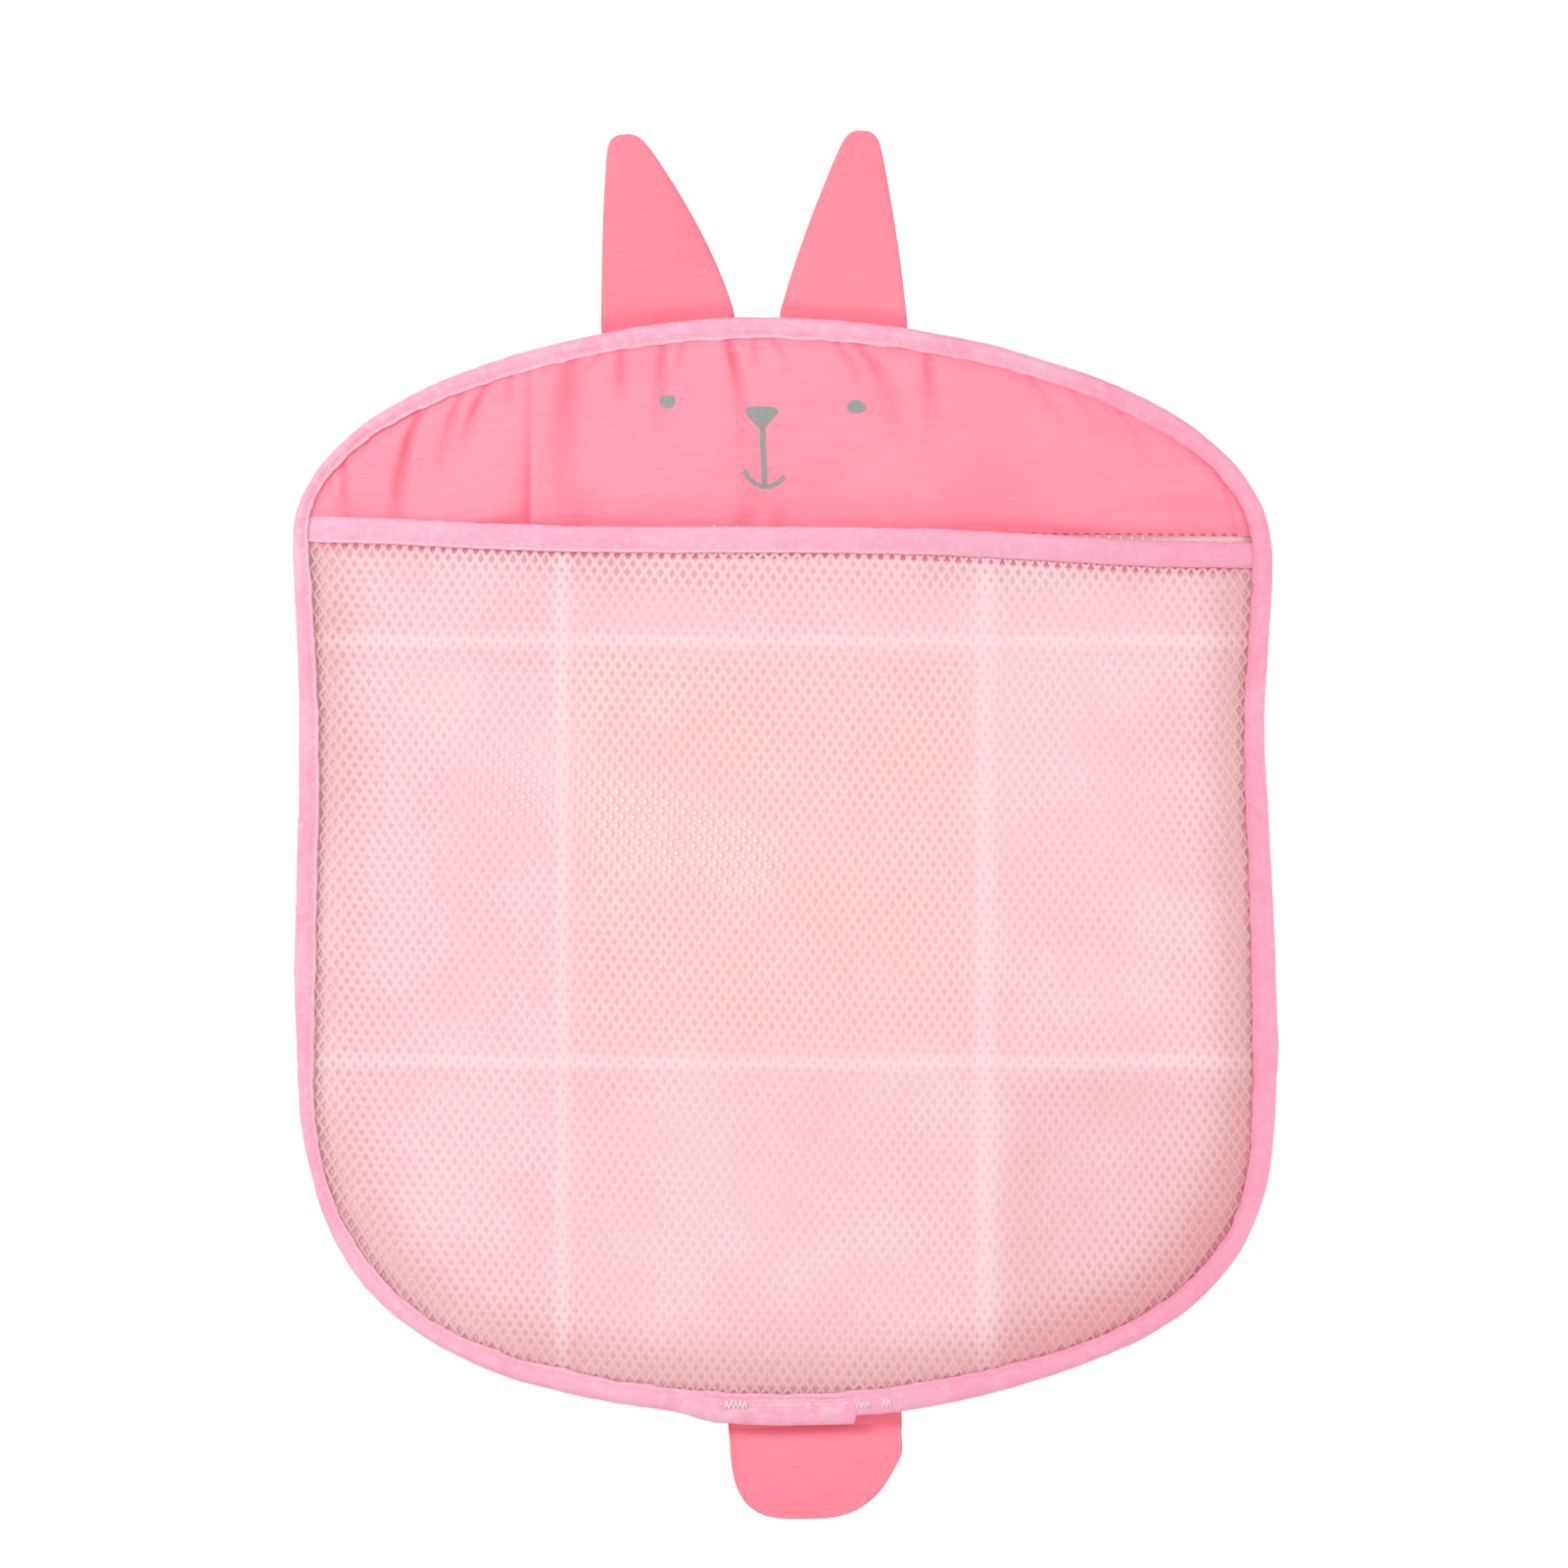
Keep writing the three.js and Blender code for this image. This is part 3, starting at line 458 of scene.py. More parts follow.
pocket = {
    "mouthMiddle": -79.9, "mouthTilt": 1.6, "wave": 1.15, "waveLong": 250.0, "waveStart": -130.0,
    "waveFades": ((-150, -110), (172, 130)), "bow": 15.0, "belly": 22.0, "lowEdge": -200.0, "topEdge": -75.0,
    "sideInset": 8.0, "netPlane": -26.4, "sewnIn": 1.0, "backPlane": -24.55, "hemLeft": -71.2, "hemRight": -73.0,
    "netInset": 3.4, "cutInset": 2.5, "netTop": 7.2, "cutTop": 8.0, "ridge": 1.1, "backSlack": 0.9,
    "slack": ((1.1, 55, 1.3), (0.5, 22, 4.4)),
}


def mouthLine(x):
    sway = -pocket["wave"] * math.sin(2 * math.pi * (x - pocket["waveStart"]) / pocket["waveLong"])
    for fade in pocket["waveFades"]:
        sway *= ease(x, *fade)
    return pocket["mouthMiddle"] - math.tan(math.radians(pocket["mouthTilt"])) * (x - bag["setOver"]) + sway


def hemLine(share):  # the face panel's lower edge
    return pocket["hemLeft"] + (pocket["hemRight"] - pocket["hemLeft"]) * share


innerEdge = outline + inwards * pocket["sideInset"]


def sortedEdge(chosen, column):
    part = innerEdge[chosen]
    return part[np.argsort(part[:, column])]


leftEdge = sortedEdge(innerEdge[:, 0] < bag["setOver"], 1)
rightEdge = sortedEdge(innerEdge[:, 0] >= bag["setOver"], 1)
lowEdge = sortedEdge(innerEdge[:, 1] < pocket["lowEdge"], 0)
topEdge = sortedEdge(innerEdge[:, 1] > pocket["topEdge"], 0)


def fullness(x, z):  # 0 at either side of the bag and 1 in the middle
    left = np.interp(z, leftEdge[:, 1], leftEdge[:, 0])
    right = np.interp(z, rightEdge[:, 1], rightEdge[:, 0])
    return math.sin(math.pi * min(max((x - left) / (right - left), 0.0), 1.0)) ** 2


def bellyAt(x, z):
    top = mouthLine(x)
    bottom = np.interp(x, lowEdge[:, 0], lowEdge[:, 1])
    v = min(max((top - z) / (top - bottom), 0.0), 1.0)
    down = pocket["bow"] * (1 - v * v) + (4 * pocket["belly"] - 3 * pocket["bow"]) * v * (1 - v)
    return down * fullness(x, z)


def sewnPlane(inset):  # the front net comes back to the binding it is sewn in
    return pocket["netPlane"] + pocket["sewnIn"] * ease(-inset, -22, -7)


def creaseGaps(x, z):  # the distance to each fold line, and that line's width
    across = [(x - line, wide) for line, wide in creases["across"]]
    return across + [(z - line, wide) for line, wide in creases["up"]]


def frontDepth(x, z):
    inset, below = insetOf(x, z), mouthLine(x) - z
    loose = ease(inset, 9, 45) * ease(below, 6, 40)
    ridge = pocket["ridge"] * sum(math.exp(-abs(gap) / 5.0) for gap, _ in creaseGaps(x, z))
    ridge *= ease(inset, 9, 18) * ease(below, 2, 14)
    return sewnPlane(inset) - bellyAt(x, z) - loose * wanders(x, z, pocket["slack"]) - ridge


def backDepth(x, z):
    slack = pocket["backSlack"] * (1 + wander(x, z, 60, 6.3))
    return pocket["backPlane"] + ease(insetOf(x, z), 12, 50) * slack


# Nets: two families of slanting threads, so each cell is a diamond with a rounded hole in it

view = {"middle": (10.06, -160.8), "wide": 555.5, "away": 2500.0}  # the photograph's, for nets and camera
frontNet = {
    "pitch": 3.92, "row": 2.97, "tilt": -2.5, "hole": 0.61, "dip": 0.2, "sway": 1.3, "seed": 3.7, "shift": 0.0,
    "rowsOut": 78, "columnsOut": 56, "knotBlunt": 0.94, "knotThick": 1.4, "creased": 0.3, "uneven": 0.1,
}
backNet = {  # the same cloth, less stretched and half a mesh across, apart from a few places where it has slipped
    **frontNet, "hole": 0.31, "shift": 1.96, "drift": 0.14, "slip": 1.15,
    "slips": ((-86, -160, 24), (-40, -175, 27), (-4, -188, 22)),
    "hem": {"left": -163.0, "long": 348.0, "below": 1.0, "reach": 2.6, "closed": 0.55},
}
netShade = {  # painted shade: how much darker the net is painted in places, away from the light and in its own shadow
    "right": 0.4, "down": 0.3, "upperLeft": 0.26, "corner": 0.14, "outside": 0.05,
    "shadow": 0.1, "shadowInside": 0.1, "shadowEdge": 0.1, "patch": 0.08,
}


def behindFront(x, z):  # the place on the back net that lies straight behind a place on the front net
    grow = 1 + (backDepth(x, z) - frontDepth(x, z)) / view["away"]
    slips = sum(math.exp(-((x - atX) ** 2 + (z - atZ) ** 2) / reach ** 2) for atX, atZ, reach in backNet["slips"])
    x += backNet["drift"] * wander(x, z, 45, 8.8) + backNet["slip"] * min(slips, 1.0)
    middleX, middleZ = view["middle"]
    return middleX + (x - middleX) * grow, middleZ + (z - middleZ) * grow


def hemmed(x, z):  # the back net is doubled where the face panel is sewn to it
    hem = backNet["hem"]
    foot = hemLine((x - hem["left"]) / hem["long"]) - hem["below"]
    return 1 - hem["closed"] * hump((z - foot) / hem["reach"])


def asKnitted(x, z):  # the meshes open a little by the edges
    return 1 + 0.08 * wander(x, z, 34, 2.9) + 0.08 * ease(-insetOf(x, z), -34, -12)


def middleSquare(x, z):  # 1 well inside the fold lines
    (left, _), (right, _) = creases["across"]
    (top, _), (bottom, _) = creases["up"]
    return ease(min(x - left, right - x, top - z, z - bottom), 0, netLook["fade"])


def sideShade(x, z):  # deeper on the sides that are turned from the light
    right, down = roundTheBag(x, z)
    rim = ease(-insetOf(x, z), -30, -7)
    corner = netShade["corner"] * ease(x, 83, 95) * ease(-z, 262, 275)
    upperLeft = netShade["upperLeft"] * ease(-x, 60, 150) * ease(z, -215, -165)
    return min(rim * (netShade["right"] * right + netShade["down"] * down + upperLeft) + corner, 1.0)


# Painted shade on the front net: the sides' shade, and a little more outside the middle square
def frontShade(x, z):
    return min(sideShade(x, z) + netShade["outside"] * (1 - middleSquare(x, z)), 1.0)


def backShade(x, z):  # in its own shadow, more so in the middle and near the edges
    shadow = netShade["shadow"] + netShade["shadowInside"] * middleSquare(x, z)
    shadow += netShade["shadowEdge"] * ease(-insetOf(x, z), -45, -10)
    return min(sideShade(x, z) + shadow + netShade["patch"] * max(wander(x, z, 34, 9.6), 0), 1.0)


def knitNet(name, net, keep, depthAt, material, placeAt, closing, shadeAt):
    pitch, row = net["pitch"], net["row"]
    turn = math.radians(net["tilt"])
    knots = ((0, row), (pitch / 2, 0), (0, -row), (-pitch / 2, 0))
    corners = []
    for (ax, az), (bx, bz) in zip(knots, knots[1:] + knots[:1]):
        corners += [(ax, az, net["knotBlunt"], net["knotThick"]), ((ax + bx) / 2, (az + bz) / 2, 1.0, 1.0)]
    middleX, middleZ = bag["setOver"], bag["top"] - bag["height"] / 2

    def spot(u, w):
        x = u * math.cos(turn) - w * math.sin(turn)
        z = u * math.sin(turn) + w * math.cos(turn)
        sideways = net["sway"] * wander(x, z, 70, net["seed"])
        upwards = net["sway"] * wander(z, x, 80, net["seed"] + 5)
        return placeAt(middleX + x + sideways, middleZ + z + upwards)

    points, faces, tints, shared = [], [], [], {}
    for j in range(-net["rowsOut"], net["rowsOut"] + 1):
        for i in range(-net["columnsOut"], net["columnsOut"] + 1):
            u, w = (i + 0.5 * (j % 2)) * pitch + net["shift"], j * row
            x, z = spot(u, w)
            if not keep(x, z):
                continue
            tint = shadeAt(x, z)
            cell = []
            for du, dw, _, thick in corners:
                key = (round((u + du) * 4 / pitch), round((w + dw) * 2 / row))
                if key not in shared:
                    shared[key] = len(points)
                    px, pz = spot(u + du, w + dw)
                    points.append((px, depthAt(px, pz) - thick * net["dip"], pz))
                    tints.append(tint)
                cell.append(shared[key])
            crease = max(hump(gap / wide) for gap, wide in creaseGaps(x, z))
            size = net["hole"] * (1 - net["creased"] * crease) * closing(x, z)
            size *= 1 + net["uneven"] * wander(x, z, 9, net["seed"] + 2)
            rim = len(points)
            for du, dw, blunt, _ in corners:
                px, pz = spot(u + du * size * blunt, w + dw * size * blunt)
                points.append((px, depthAt(px, pz) + net["dip"], pz))
                tints.append(tint)
            for k in range(8):
                m = (k + 1) % 8
                faces.append((cell[k], rim + k, rim + m, cell[m]))
    return makeObject(name, points, faces, material, deepness=tints)


def inBinding(x, z):
    return insetOf(x, z) > pocket["netInset"]


cutEdge = outline + inwards * pocket["cutInset"]
cutSize, cutArea = sizeAndArea(cutEdge)
backMesh = knitNet("back_net_knit", backNet, inBinding, backDepth, backNetCloth, behindFront, hemmed, backShade)
onBag("net", backMesh)
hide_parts("back_net")

frontMesh = knitNet(
    "front_net_knit", frontNet, lambda x, z: z < mouthLine(x) + pocket["netTop"] and inBinding(x, z), frontDepth,
    frontNetCloth, lambda x, z: (x, z), asKnitted, frontShade)
onBag("net", frontMesh)
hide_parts("front_net")
cutSize, cutArea = sizeAndArea(np.array([p for p in cutEdge if p[1] < mouthLine(p[0]) + pocket["cutTop"]]))
print("nets:", len(backMesh.data.polygons), len(frontMesh.data.polygons))


# Tapes: a section of (distance in from the fold, standing off the middle), carried along a line

tape = {"flat": 0.0245, "shadeRight": 0.38, "shadeDown": 0.12}  # flat: its cut width in metres; the other two are painted shade towards the right and the bottom


# Painted shade: the tape is painted darker towards the right and the bottom of the bag, away from the light
def tapeShade(place):
    right, down = roundTheBag(place[0], place[2])
    return tape["shadeRight"] * right + tape["shadeDown"] * down


def tapeSurface(name, rings, material, closedRun, lengths):
    points = [p for ring in rings for p in ring]
    tapeMap = []
    for ring, along in zip(rings, lengths):
        across = 0.0
        for k, p in enumerate(ring):
            across += math.dist(ring[k - 1], p) if k else 0.0
            tapeMap.append((along * mm, across * mm))
    faces = gridFaces(len(rings), len(rings[0]), joinRows=closedRun)
    return makeObject(name, points, faces, material, tapeMap, [tapeShade(p) for p in points])


edgeBinding = {
    "middle": -25.5, "pucker": 0.32, "puckerLong": 6.4, "step": 2.0, "width": 7.4, "rest": 0.35, "groove": 5.7,
    "swells": ((1.0, 3.6, 2.2), (0.5, 6.8, 0.6)),  # share, place and width of each part of a pucker
    "sway": ((0.25, 16, 2.2), (0.2, 5, 9.4)), "uneven": ((0.55, 7, 6.4), (0.3, 3, 1.7)),
    # The section's lip stands on the cloth below, the rest on the middle of the fold
    "lip": ((7.2, 0.05), (7.4, 0.4), (7.2, 0.75), (6.7, 0.95), (6.1, 0.95), (5.7, 0.85), (5.2, 1.1)),
    "crown": ((4.4, 1.8), (3.4, 2.05), (2.4, 2.05), (1.5, 1.85), (0.8, 1.4), (0.3, 0.85), (0.0, 0.0)),
    "back": ((0.3, -0.8), (0.85, -1.4), (1.6, -1.8), (3.2, -2.1), (5.1, -2.1), (5.7, -1.8), (6.3, -2.1),
             (7.6, -2.15), (9.2, -1.95), (9.6, -1.5)),
    # How wide the front of the tape shows at places round the edge, and how far its fold lies outside the line
    "widths": ((0, 4, 7.2, 0.7), (66, -2, 7.2, 0.2), (105, -11, 7.6, -0.6), (137, -24, 8.0, 0.0),
               (167, -44, 6.9, 0.1), (182, -100, 6.6, 0.4), (181, -163, 7.3, 0.3), (184, -229, 8.4, 0.4),
               (184, -251, 8.2, 0.8), (184, -286, 9.0, -0.9), (172, -325, 6.7, 0.5), (152, -347, 7.0, 0.6),
               (122, -365, 8.0, -0.8), (89, -376, 8.8, -0.5), (66, -380, 8.2, 0.9), (50, -382, 7.6, 1.5),
               (12, -384, 6.8, 1.2), (-20, -383, 7.6, 0.4), (-45, -381, 8.2, -0.1), (-69, -377, 8.8, -0.5),
               (-122, -354, 6.6, -0.2), (-143, -333, 6.2, 0.3), (-158, -300, 5.4, -0.8), (-163, -259, 6.4, -0.5),
               (-163, -228, 6.9, 0.7), (-162, -165, 7.7, -0.4), (-164, -90, 6.6, -0.7), (-160, -55, 5.2, -0.7),
               (-135, -30, 5.6, -0.1), (-103, -14, 7.3, -0.3), (-70, -4, 7.5, -0.4), (-30, 3, 7.3, 0.3)),
}
knotRuns, knotWidths, knotOuts = zip(*sorted(
    (float(runs[edgeTree.find((x, 0, z))[1]]), wide, out) for x, z, wide, out in edgeBinding["widths"]))


def bindingWidthAt(run):
    return float(np.interp(run, knotRuns, knotWidths, period=edgeLength))


def bindingRing(run, width, liftOut, liftOff):
    point, inward = edgeFrame(run)
    x, z = point
    edgeSway = wanders(x, z, edgeBinding["sway"]) + float(np.interp(run, knotRuns, knotOuts, period=edgeLength))
    swell = edgeBinding["pucker"] * (0.55 + 0.9 * abs(wander(x, z, 30, 5.1)))
    swell *= math.sin(2 * math.pi * run / edgeBinding["puckerLong"] + 2.5 * wander(x, z, 40, 7.7))
    uneven = 0.3 * swell + wanders(x, z, edgeBinding["uneven"])
    stretch = width / edgeBinding["width"]
    front = [(inset * stretch, edgeBinding["rest"] + off) for inset, off in edgeBinding["lip"]]
    front += [(inset * stretch, off) for inset, off in edgeBinding["crown"]]
    ring = []
    for inset, off in front + list(edgeBinding["back"]):
        place = inset / stretch
        crown = sum(share * hump((place - peak) / wide) for share, peak, wide in edgeBinding["swells"])
        side = 1 if off > 0 else -1 if off < 0 else 0
        off += side * (liftOff + swell * crown * (1 if side > 0 else 0.3))
        at = inset - liftOut - edgeSway * ease(-inset, -3, 0) + uneven * ease(place, 5.0, 7.2)
        px, pz = point + inward * at
        ring.append((px, edgeBinding["middle"] - off, pz))
    return ring


bindingCount = round(edgeLength / edgeBinding["step"])
bindingRuns = [edgeLength * k / bindingCount for k in range(bindingCount)]
bindingRings = [bindingRing(run, bindingWidthAt(run), 0, 0) for run in bindingRuns]
edgeTapeMesh = tapeSurface("edge_binding_tape", bindingRings, edgeTape, True, bindingRuns)

# The tape's end laps over its beginning at the bottom, with both ends turned under
lap = {
    "from": 35.7, "to": -32.0, "below": -300.0, "step": 0.8, "width": 8.2, "out": 2.9, "off": 0.8,
    "turnUnder": 1.2, "runOut": 19.0,
}
lapFrom, lapTo = (
    runWhere(lambda p: p[1] < lap["below"], lambda p: abs(p[0] - lap[end])) for end in ("from", "to"))
lapLong = lapTo - lapFrom
lapCount = round(lapLong / lap["step"])
lapRuns = [lapFrom + lapLong * k / lapCount for k in range(lapCount + 1)]
lapRings = []
for run in lapRuns:
    raised = ease(run - lapFrom, -0.1, lap["turnUnder"]) * ease(lapTo - run, 0, lap["runOut"])
    wide = bindingWidthAt(run) + (lap["width"] - bindingWidthAt(run)) * raised
    lapRings.append(bindingRing(run, wide, 0.1 + lap["out"] * raised, 0.05 + lap["off"] * raised))
lapMesh = tapeSurface("edge_binding_lap", lapRings, lapTape, False, lapRuns)
onBag("ribbon", edgeTapeMesh, lapMesh)
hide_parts("edge_binding")

mouthRibbon = {
    "pucker": 0.22, "puckerLong": 7.2, "step": 2.0, "inset": 4.0, "groove": 1.5, "height": 9.4,
    "ends": (-155, 173), "seamIn": 3, "seamShort": 4.0, "slack": 1.02,
    # Sections of (height above the lower edge, standing off the net)
    "front": ((0.3, 0.3), (0.0, 0.55), (0.45, 0.85), (1.0, 1.0), (1.5, 0.8), (2.1, 1.0), (3.4, 1.35), (5.0, 1.5),
              (6.6, 1.45), (8.0, 1.2), (9.0, 0.75), (9.4, 0.0)),
    "back": ((9.0, -0.7), (8.0, -1.0), (6.0, -1.15), (3.0, -1.1), (1.5, -0.9), (0.5, -0.8), (-1.4, -0.7),
             (-2.0, -0.5)),
}
mouthLeftX, mouthRightX = (
    edgePoint(runOnSide(sign, mouthLine(end)), mouthRibbon["inset"])[0]
    for sign, end in zip((-1, 1), mouthRibbon["ends"]))
mouthLong = mouthRightX - mouthLeftX
mouthCount = round(mouthLong / mouthRibbon["step"])
mouthRings, mouthRuns = [], []
for k in range(mouthCount + 1):
    x = mouthLeftX + mouthLong * k / mouthCount
    foot = mouthLine(x)
    edgeGap = min(x - mouthLeftX, mouthRightX - x)
    plane = sewnPlane(insetOf(x, foot)) - pocket["bow"] * fullness(x, foot)
    squeeze = 0.3 + 0.7 * ease(edgeGap, 5, 16)
    swell = mouthRibbon["pucker"] * (0.4 + abs(wander(x, 0, 28, 6.6))) * ease(edgeGap, 6, 20)
    swell *= math.sin(2 * math.pi * x / mouthRibbon["puckerLong"] + 2.2 * wander(x, 0, 35, 3.3))
    ring = []
    for up, off in mouthRibbon["front"] + mouthRibbon["back"]:
        ripple = swell * hump((up - 5) / 3) * (1 if off > 0 else 0.3)
        lean = 0.35 * wander(x, 0, 18, 1.9) * (up / mouthRibbon["height"]) + 0.25 * wander(x, 0, 5, 7.1)
        ring.append((x, plane - off * squeeze - ripple, foot + up + lean))
    mouthRings.append(ring)
    mouthRuns.append(x - mouthLeftX)
mouthTapeMesh = tapeSurface("mouth_binding_tape", mouthRings, mouthTape, False, mouthRuns)
onBag("ribbon", mouthTapeMesh)
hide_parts("mouth_binding")


# Stitches: short lengths of thread that rise out of the cloth and go back in

stitch = {
    "long": 2.7, "pitch": 3.4, "thick": 0.42, "sides": 5, "tip": 0.45,
    "rise": ((0, -0.12), (0.2, 0.1), (0.5, 0.18), (0.8, 0.1), (1, -0.12)),
}


def threadTube(points, faces, path, thick):
    sides = stitch["sides"]
    first, final = len(points), len(path) - 1
    for n, here in enumerate(path):
        way = Vector(path[min(n + 1, final)]) - Vector(path[max(n - 1, 0)])
        way.normalize()
        flat = way.cross(Vector((0, 1, 0))).normalized()
        high = way.cross(flat)
        radius = thick / 2 * (stitch["tip"] if n in (0, final) else 1.0)
        for s in range(sides):
            angle = 2 * math.pi * s / sides
            points.append(tuple(Vector(here) + flat * radius * math.cos(angle) + high * radius * math.sin(angle)))
    faces += gridFaces(len(path), sides, first, joinColumns=True)
    faces.append(tuple(first + s for s in range(sides))[::-1])
    faces.append(tuple(first + final * sides + s for s in range(sides)))


def sewRow(points, faces, lineAt, total, side, sewn):
    for n in range(int(total / sewn["pitch"])):
        path = []
        for share, rise in stitch["rise"]:
            x, y, z = lineAt(n * sewn["pitch"] + share * sewn["long"])
            path.append((x, y - side * rise, z))
        threadTube(points, faces, path, sewn["thick"])


def seamRow(name, lineAt, total, side, material, sewn=stitch):
    points, faces = [], []
    sewRow(points, faces, lineAt, total, side, sewn)
    return makeObject(name, points, faces, material)


def ringPoint(rings, column, position):
    low = int(math.floor(position)) % len(rings)
    high = (low + 1) % len(rings)
    t = position - math.floor(position)
    return tuple(a + (b - a) * t for a, b in zip(rings[low][column], rings[high][column]))


def grooveOf(section, groove):
    return [inset for inset, _ in section].index(groove)


frontGroove = grooveOf(edgeBinding["lip"], edgeBinding["groove"])
backGroove = grooveOf(edgeBinding["back"], edgeBinding["groove"]) + len(edgeBinding["lip"] + edgeBinding["crown"])
seams = [
    seamRow("edge_stitches_" + name, lambda run: ringPoint(bindingRings, column, run / edgeLength * bindingCount),
            edgeLength, side, seamThread)
    for name, column, side in (("front", frontGroove, 1), ("back", backGroove, -1))]
mouthGroove = grooveOf(mouthRibbon["front"], mouthRibbon["groove"])
seamCount = mouthCount - 2 * mouthRibbon["seamIn"]  # of the ribbon's rings, apart from its ends
mouthSeam = seamRow(
    "mouth_stitches",
    lambda run: ringPoint(mouthRings, mouthGroove, mouthRibbon["seamIn"] + seamCount * run / mouthLong),
    mouthLong - mouthRibbon["seamShort"], 1, seamThread)

# Bar tacks at the two ends of the lap, each a zigzag of pale thread, and a row of stitches along its groove
tack = {
    # The place, width and height of each
    "at": ((-6.6, -380.6, 8.0, 2.9), (38.6, -380.6, 5.0, 2.2), (46.6, -380.0, 3.0, 2.4)),
    "rise": ((0, -0.5), (0.15, 0.1), (0.5, 0.25), (0.85, 0.1), (1, -0.5)),
    "apart": 0.8, "thick": 0.55, "front": -28.35, "under": 0.75, "rowStart": 2.0, "rowShort": 14.0,
    "lean": 0.5, "unevenLean": 0.4, "unevenLong": 0.3,
}
points, faces = [], []
for x, z, wide, high in tack["at"]:
    for n in range(round(wide / tack["apart"])):
        zig = x - wide / 2 + tack["apart"] * n
        lean = tack["lean"] * (-1) ** n + tack["unevenLean"] * wander(zig, z, 2, 5.8)
        long = high * (1 + tack["unevenLong"] * wander(zig, z, 1.5, 3.3))
        front = tack["front"] + (tack["under"] if zig > lap["from"] else 0.0)
        path = [(zig + lean * (share - 0.5), front - rise, z + long * (share - 0.5))
                for share, rise in tack["rise"]]
        threadTube(points, faces, path, tack["thick"])
sewRow(points, faces, lambda run: ringPoint(lapRings, frontGroove, (tack["rowStart"] + run) / lapLong * lapCount),
       lapLong - tack["rowShort"], 1, stitch)
tackMesh = makeObject("lap_bar_tacks", points, faces, tackThread)
onBag("ribbon", *seams, mouthSeam, tackMesh)
print("tapes and stitches done")


# Face panel: a loose fabric with gathers that run down from the top binding

panel = {
    "inset": 3.2, "columns": 460, "rows": 64, "plane": -25.75, "loose": 3.0, "deepen": 1.35, "bend": 25.0,
    "soft": ((0.9, 46, 2.7), (0.5, 21, 5.5), (0.12, 8, 3.1)), "slanted": 0.7,
    # Gathers: where each starts on the top edge, its width, depth, length, and its drift sideways on the way down
    "gathers": (
        (-146.0, 1.9, 1.3, 24, 0.12), (-119.6, 2.9, 1.8, 46, -0.58), (-104.4, 2.2, 1.2, 20, -0.6),
        (-95.6, 2.0, 1.6, 15, -0.7), (-86.9, 1.5, 0.9, 8, 0.0), (-65.8, 4.6, 1.6, 38, -0.1),
        (-55.8, 1.7, 0.8, 7, -1.2), (-47.8, 2.3, 1.5, 15, 0.08), (-32.9, 2.3, 1.5, 22, -0.05),
        (-25.8, 1.7, 1.0, 9, -0.22), (-9.8, 2.3, 1.9, 25, 0.4), (-0.3, 1.7, 1.0, 10, 0.1),
        (6.4, 1.9, 0.9, 9, 0.9), (29.0, 2.2, 1.1, 12, 1.0), (37.0, 3.0, 1.3, 22, 1.0),
        (60.8, 2.4, 1.4, 20, 0.1), (97.5, 2.2, 0.7, 11, 1.2), (112.0, 2.0, 0.5, 8, 1.2),
        (129.0, 2.2, 0.6, 9, 1.2), (166.0, 2.0, 0.8, 16, 0.6),
    ),
    # Folds that rise from the lower edge: place, width, depth, length and drift on the way up
    "footFolds": ((-92.0, 6.0, 0.8, 8, 0.9), (-62.0, 5.0, 0.8, 14, -0.1), (-6.0, 5.0, 1.1, 20, 0.6),
                  (8.5, 3.2, 0.8, 13, 0.0)),
    # A sharp fold, sunk on its left
    "crease": {"line": -79.6, "deep": 1.6, "narrow": 1.2, "wide": 4.2, "proud": 0.45},
    "seam": {"pitch": 3.75, "long": 1.7, "thick": 0.75, "above": 0.5, "inset": 7.2},
    # How much painted shade the cloth gets: in the folds, beside the binding, along the ribbon, towards the
    # right, and along the slanted waves
    "tint": {"fold": 0.5, "binding": 0.4, "ribbon": 0.3, "right": 0.22, "slanted": 0.1},
}
panelLeft = runOnSide(-1, pocket["hemLeft"]) - edgeLength
panelRight = runOnSide(1, pocket["hemRight"])


def panelDip(x, z):  # how deep the cloth is drawn in by its gathers and its sharp fold
    top = max(float(np.interp(x, topEdge[:, 0], topEdge[:, 1])), z)
    dip = 0.0
    for folds, along in ((panel["gathers"], top - z), (panel["footFolds"], z - pocket["hemRight"])):
        for start, wide, deep, long, drift in folds:
            swerve = drift * along / (1 + max(along, 0) / panel["bend"])
            gap = (x - start - swerve) / (wide * (0.75 + 0.5 * min(along / long, 1.5)))
            if abs(gap) < 3:
                dip += deep * hump(gap) * hump(along / long)
    crease = panel["crease"]
    off = crease["line"] - x
    spread = crease["narrow"] + (crease["wide"] - crease["narrow"]) * ease(-z, 30, 70)
    sunk = crease["deep"] * math.exp(-max(off, 0) / spread) * (0.6 + 0.4 * ease(-z, 30, 60))
    proud = crease["proud"] * math.exp(-max(-off, 0) / crease["narrow"])
    side = ease(off, -0.5, 0.5)
    return dip + sunk * side - proud * (1 - side)


def slantedWave(x, z):  # slack in the cloth, in waves that lean to the left on the way down
    return wander(x - 0.9 * z, 0.35 * z, 21, 4.9) * ease(-x, -90, -10)


def panelDepth(x, z, dip):
    soft = panel["loose"] + wanders(x, z, panel["soft"]) + panel["slanted"] * slantedWave(x, z)
    free = ease(insetOf(x, z), edgeBinding["width"] - 1.5, 12.0) * (0.5 + 0.5 * ease(z, -74, -66))
    stand = max(soft - panel["deepen"] * dip, -0.1) * free
    ribbonBow = pocket["bow"] * fullness(x, mouthLine(x))
    behind = ease(-z, 56, 66)  # near the ribbon the cloth stays behind it
    stand += (min(stand, 0.8 * ribbonBow) - stand) * behind
    return panel["plane"] + 0.5 * ease(-z, 60, 70) - stand


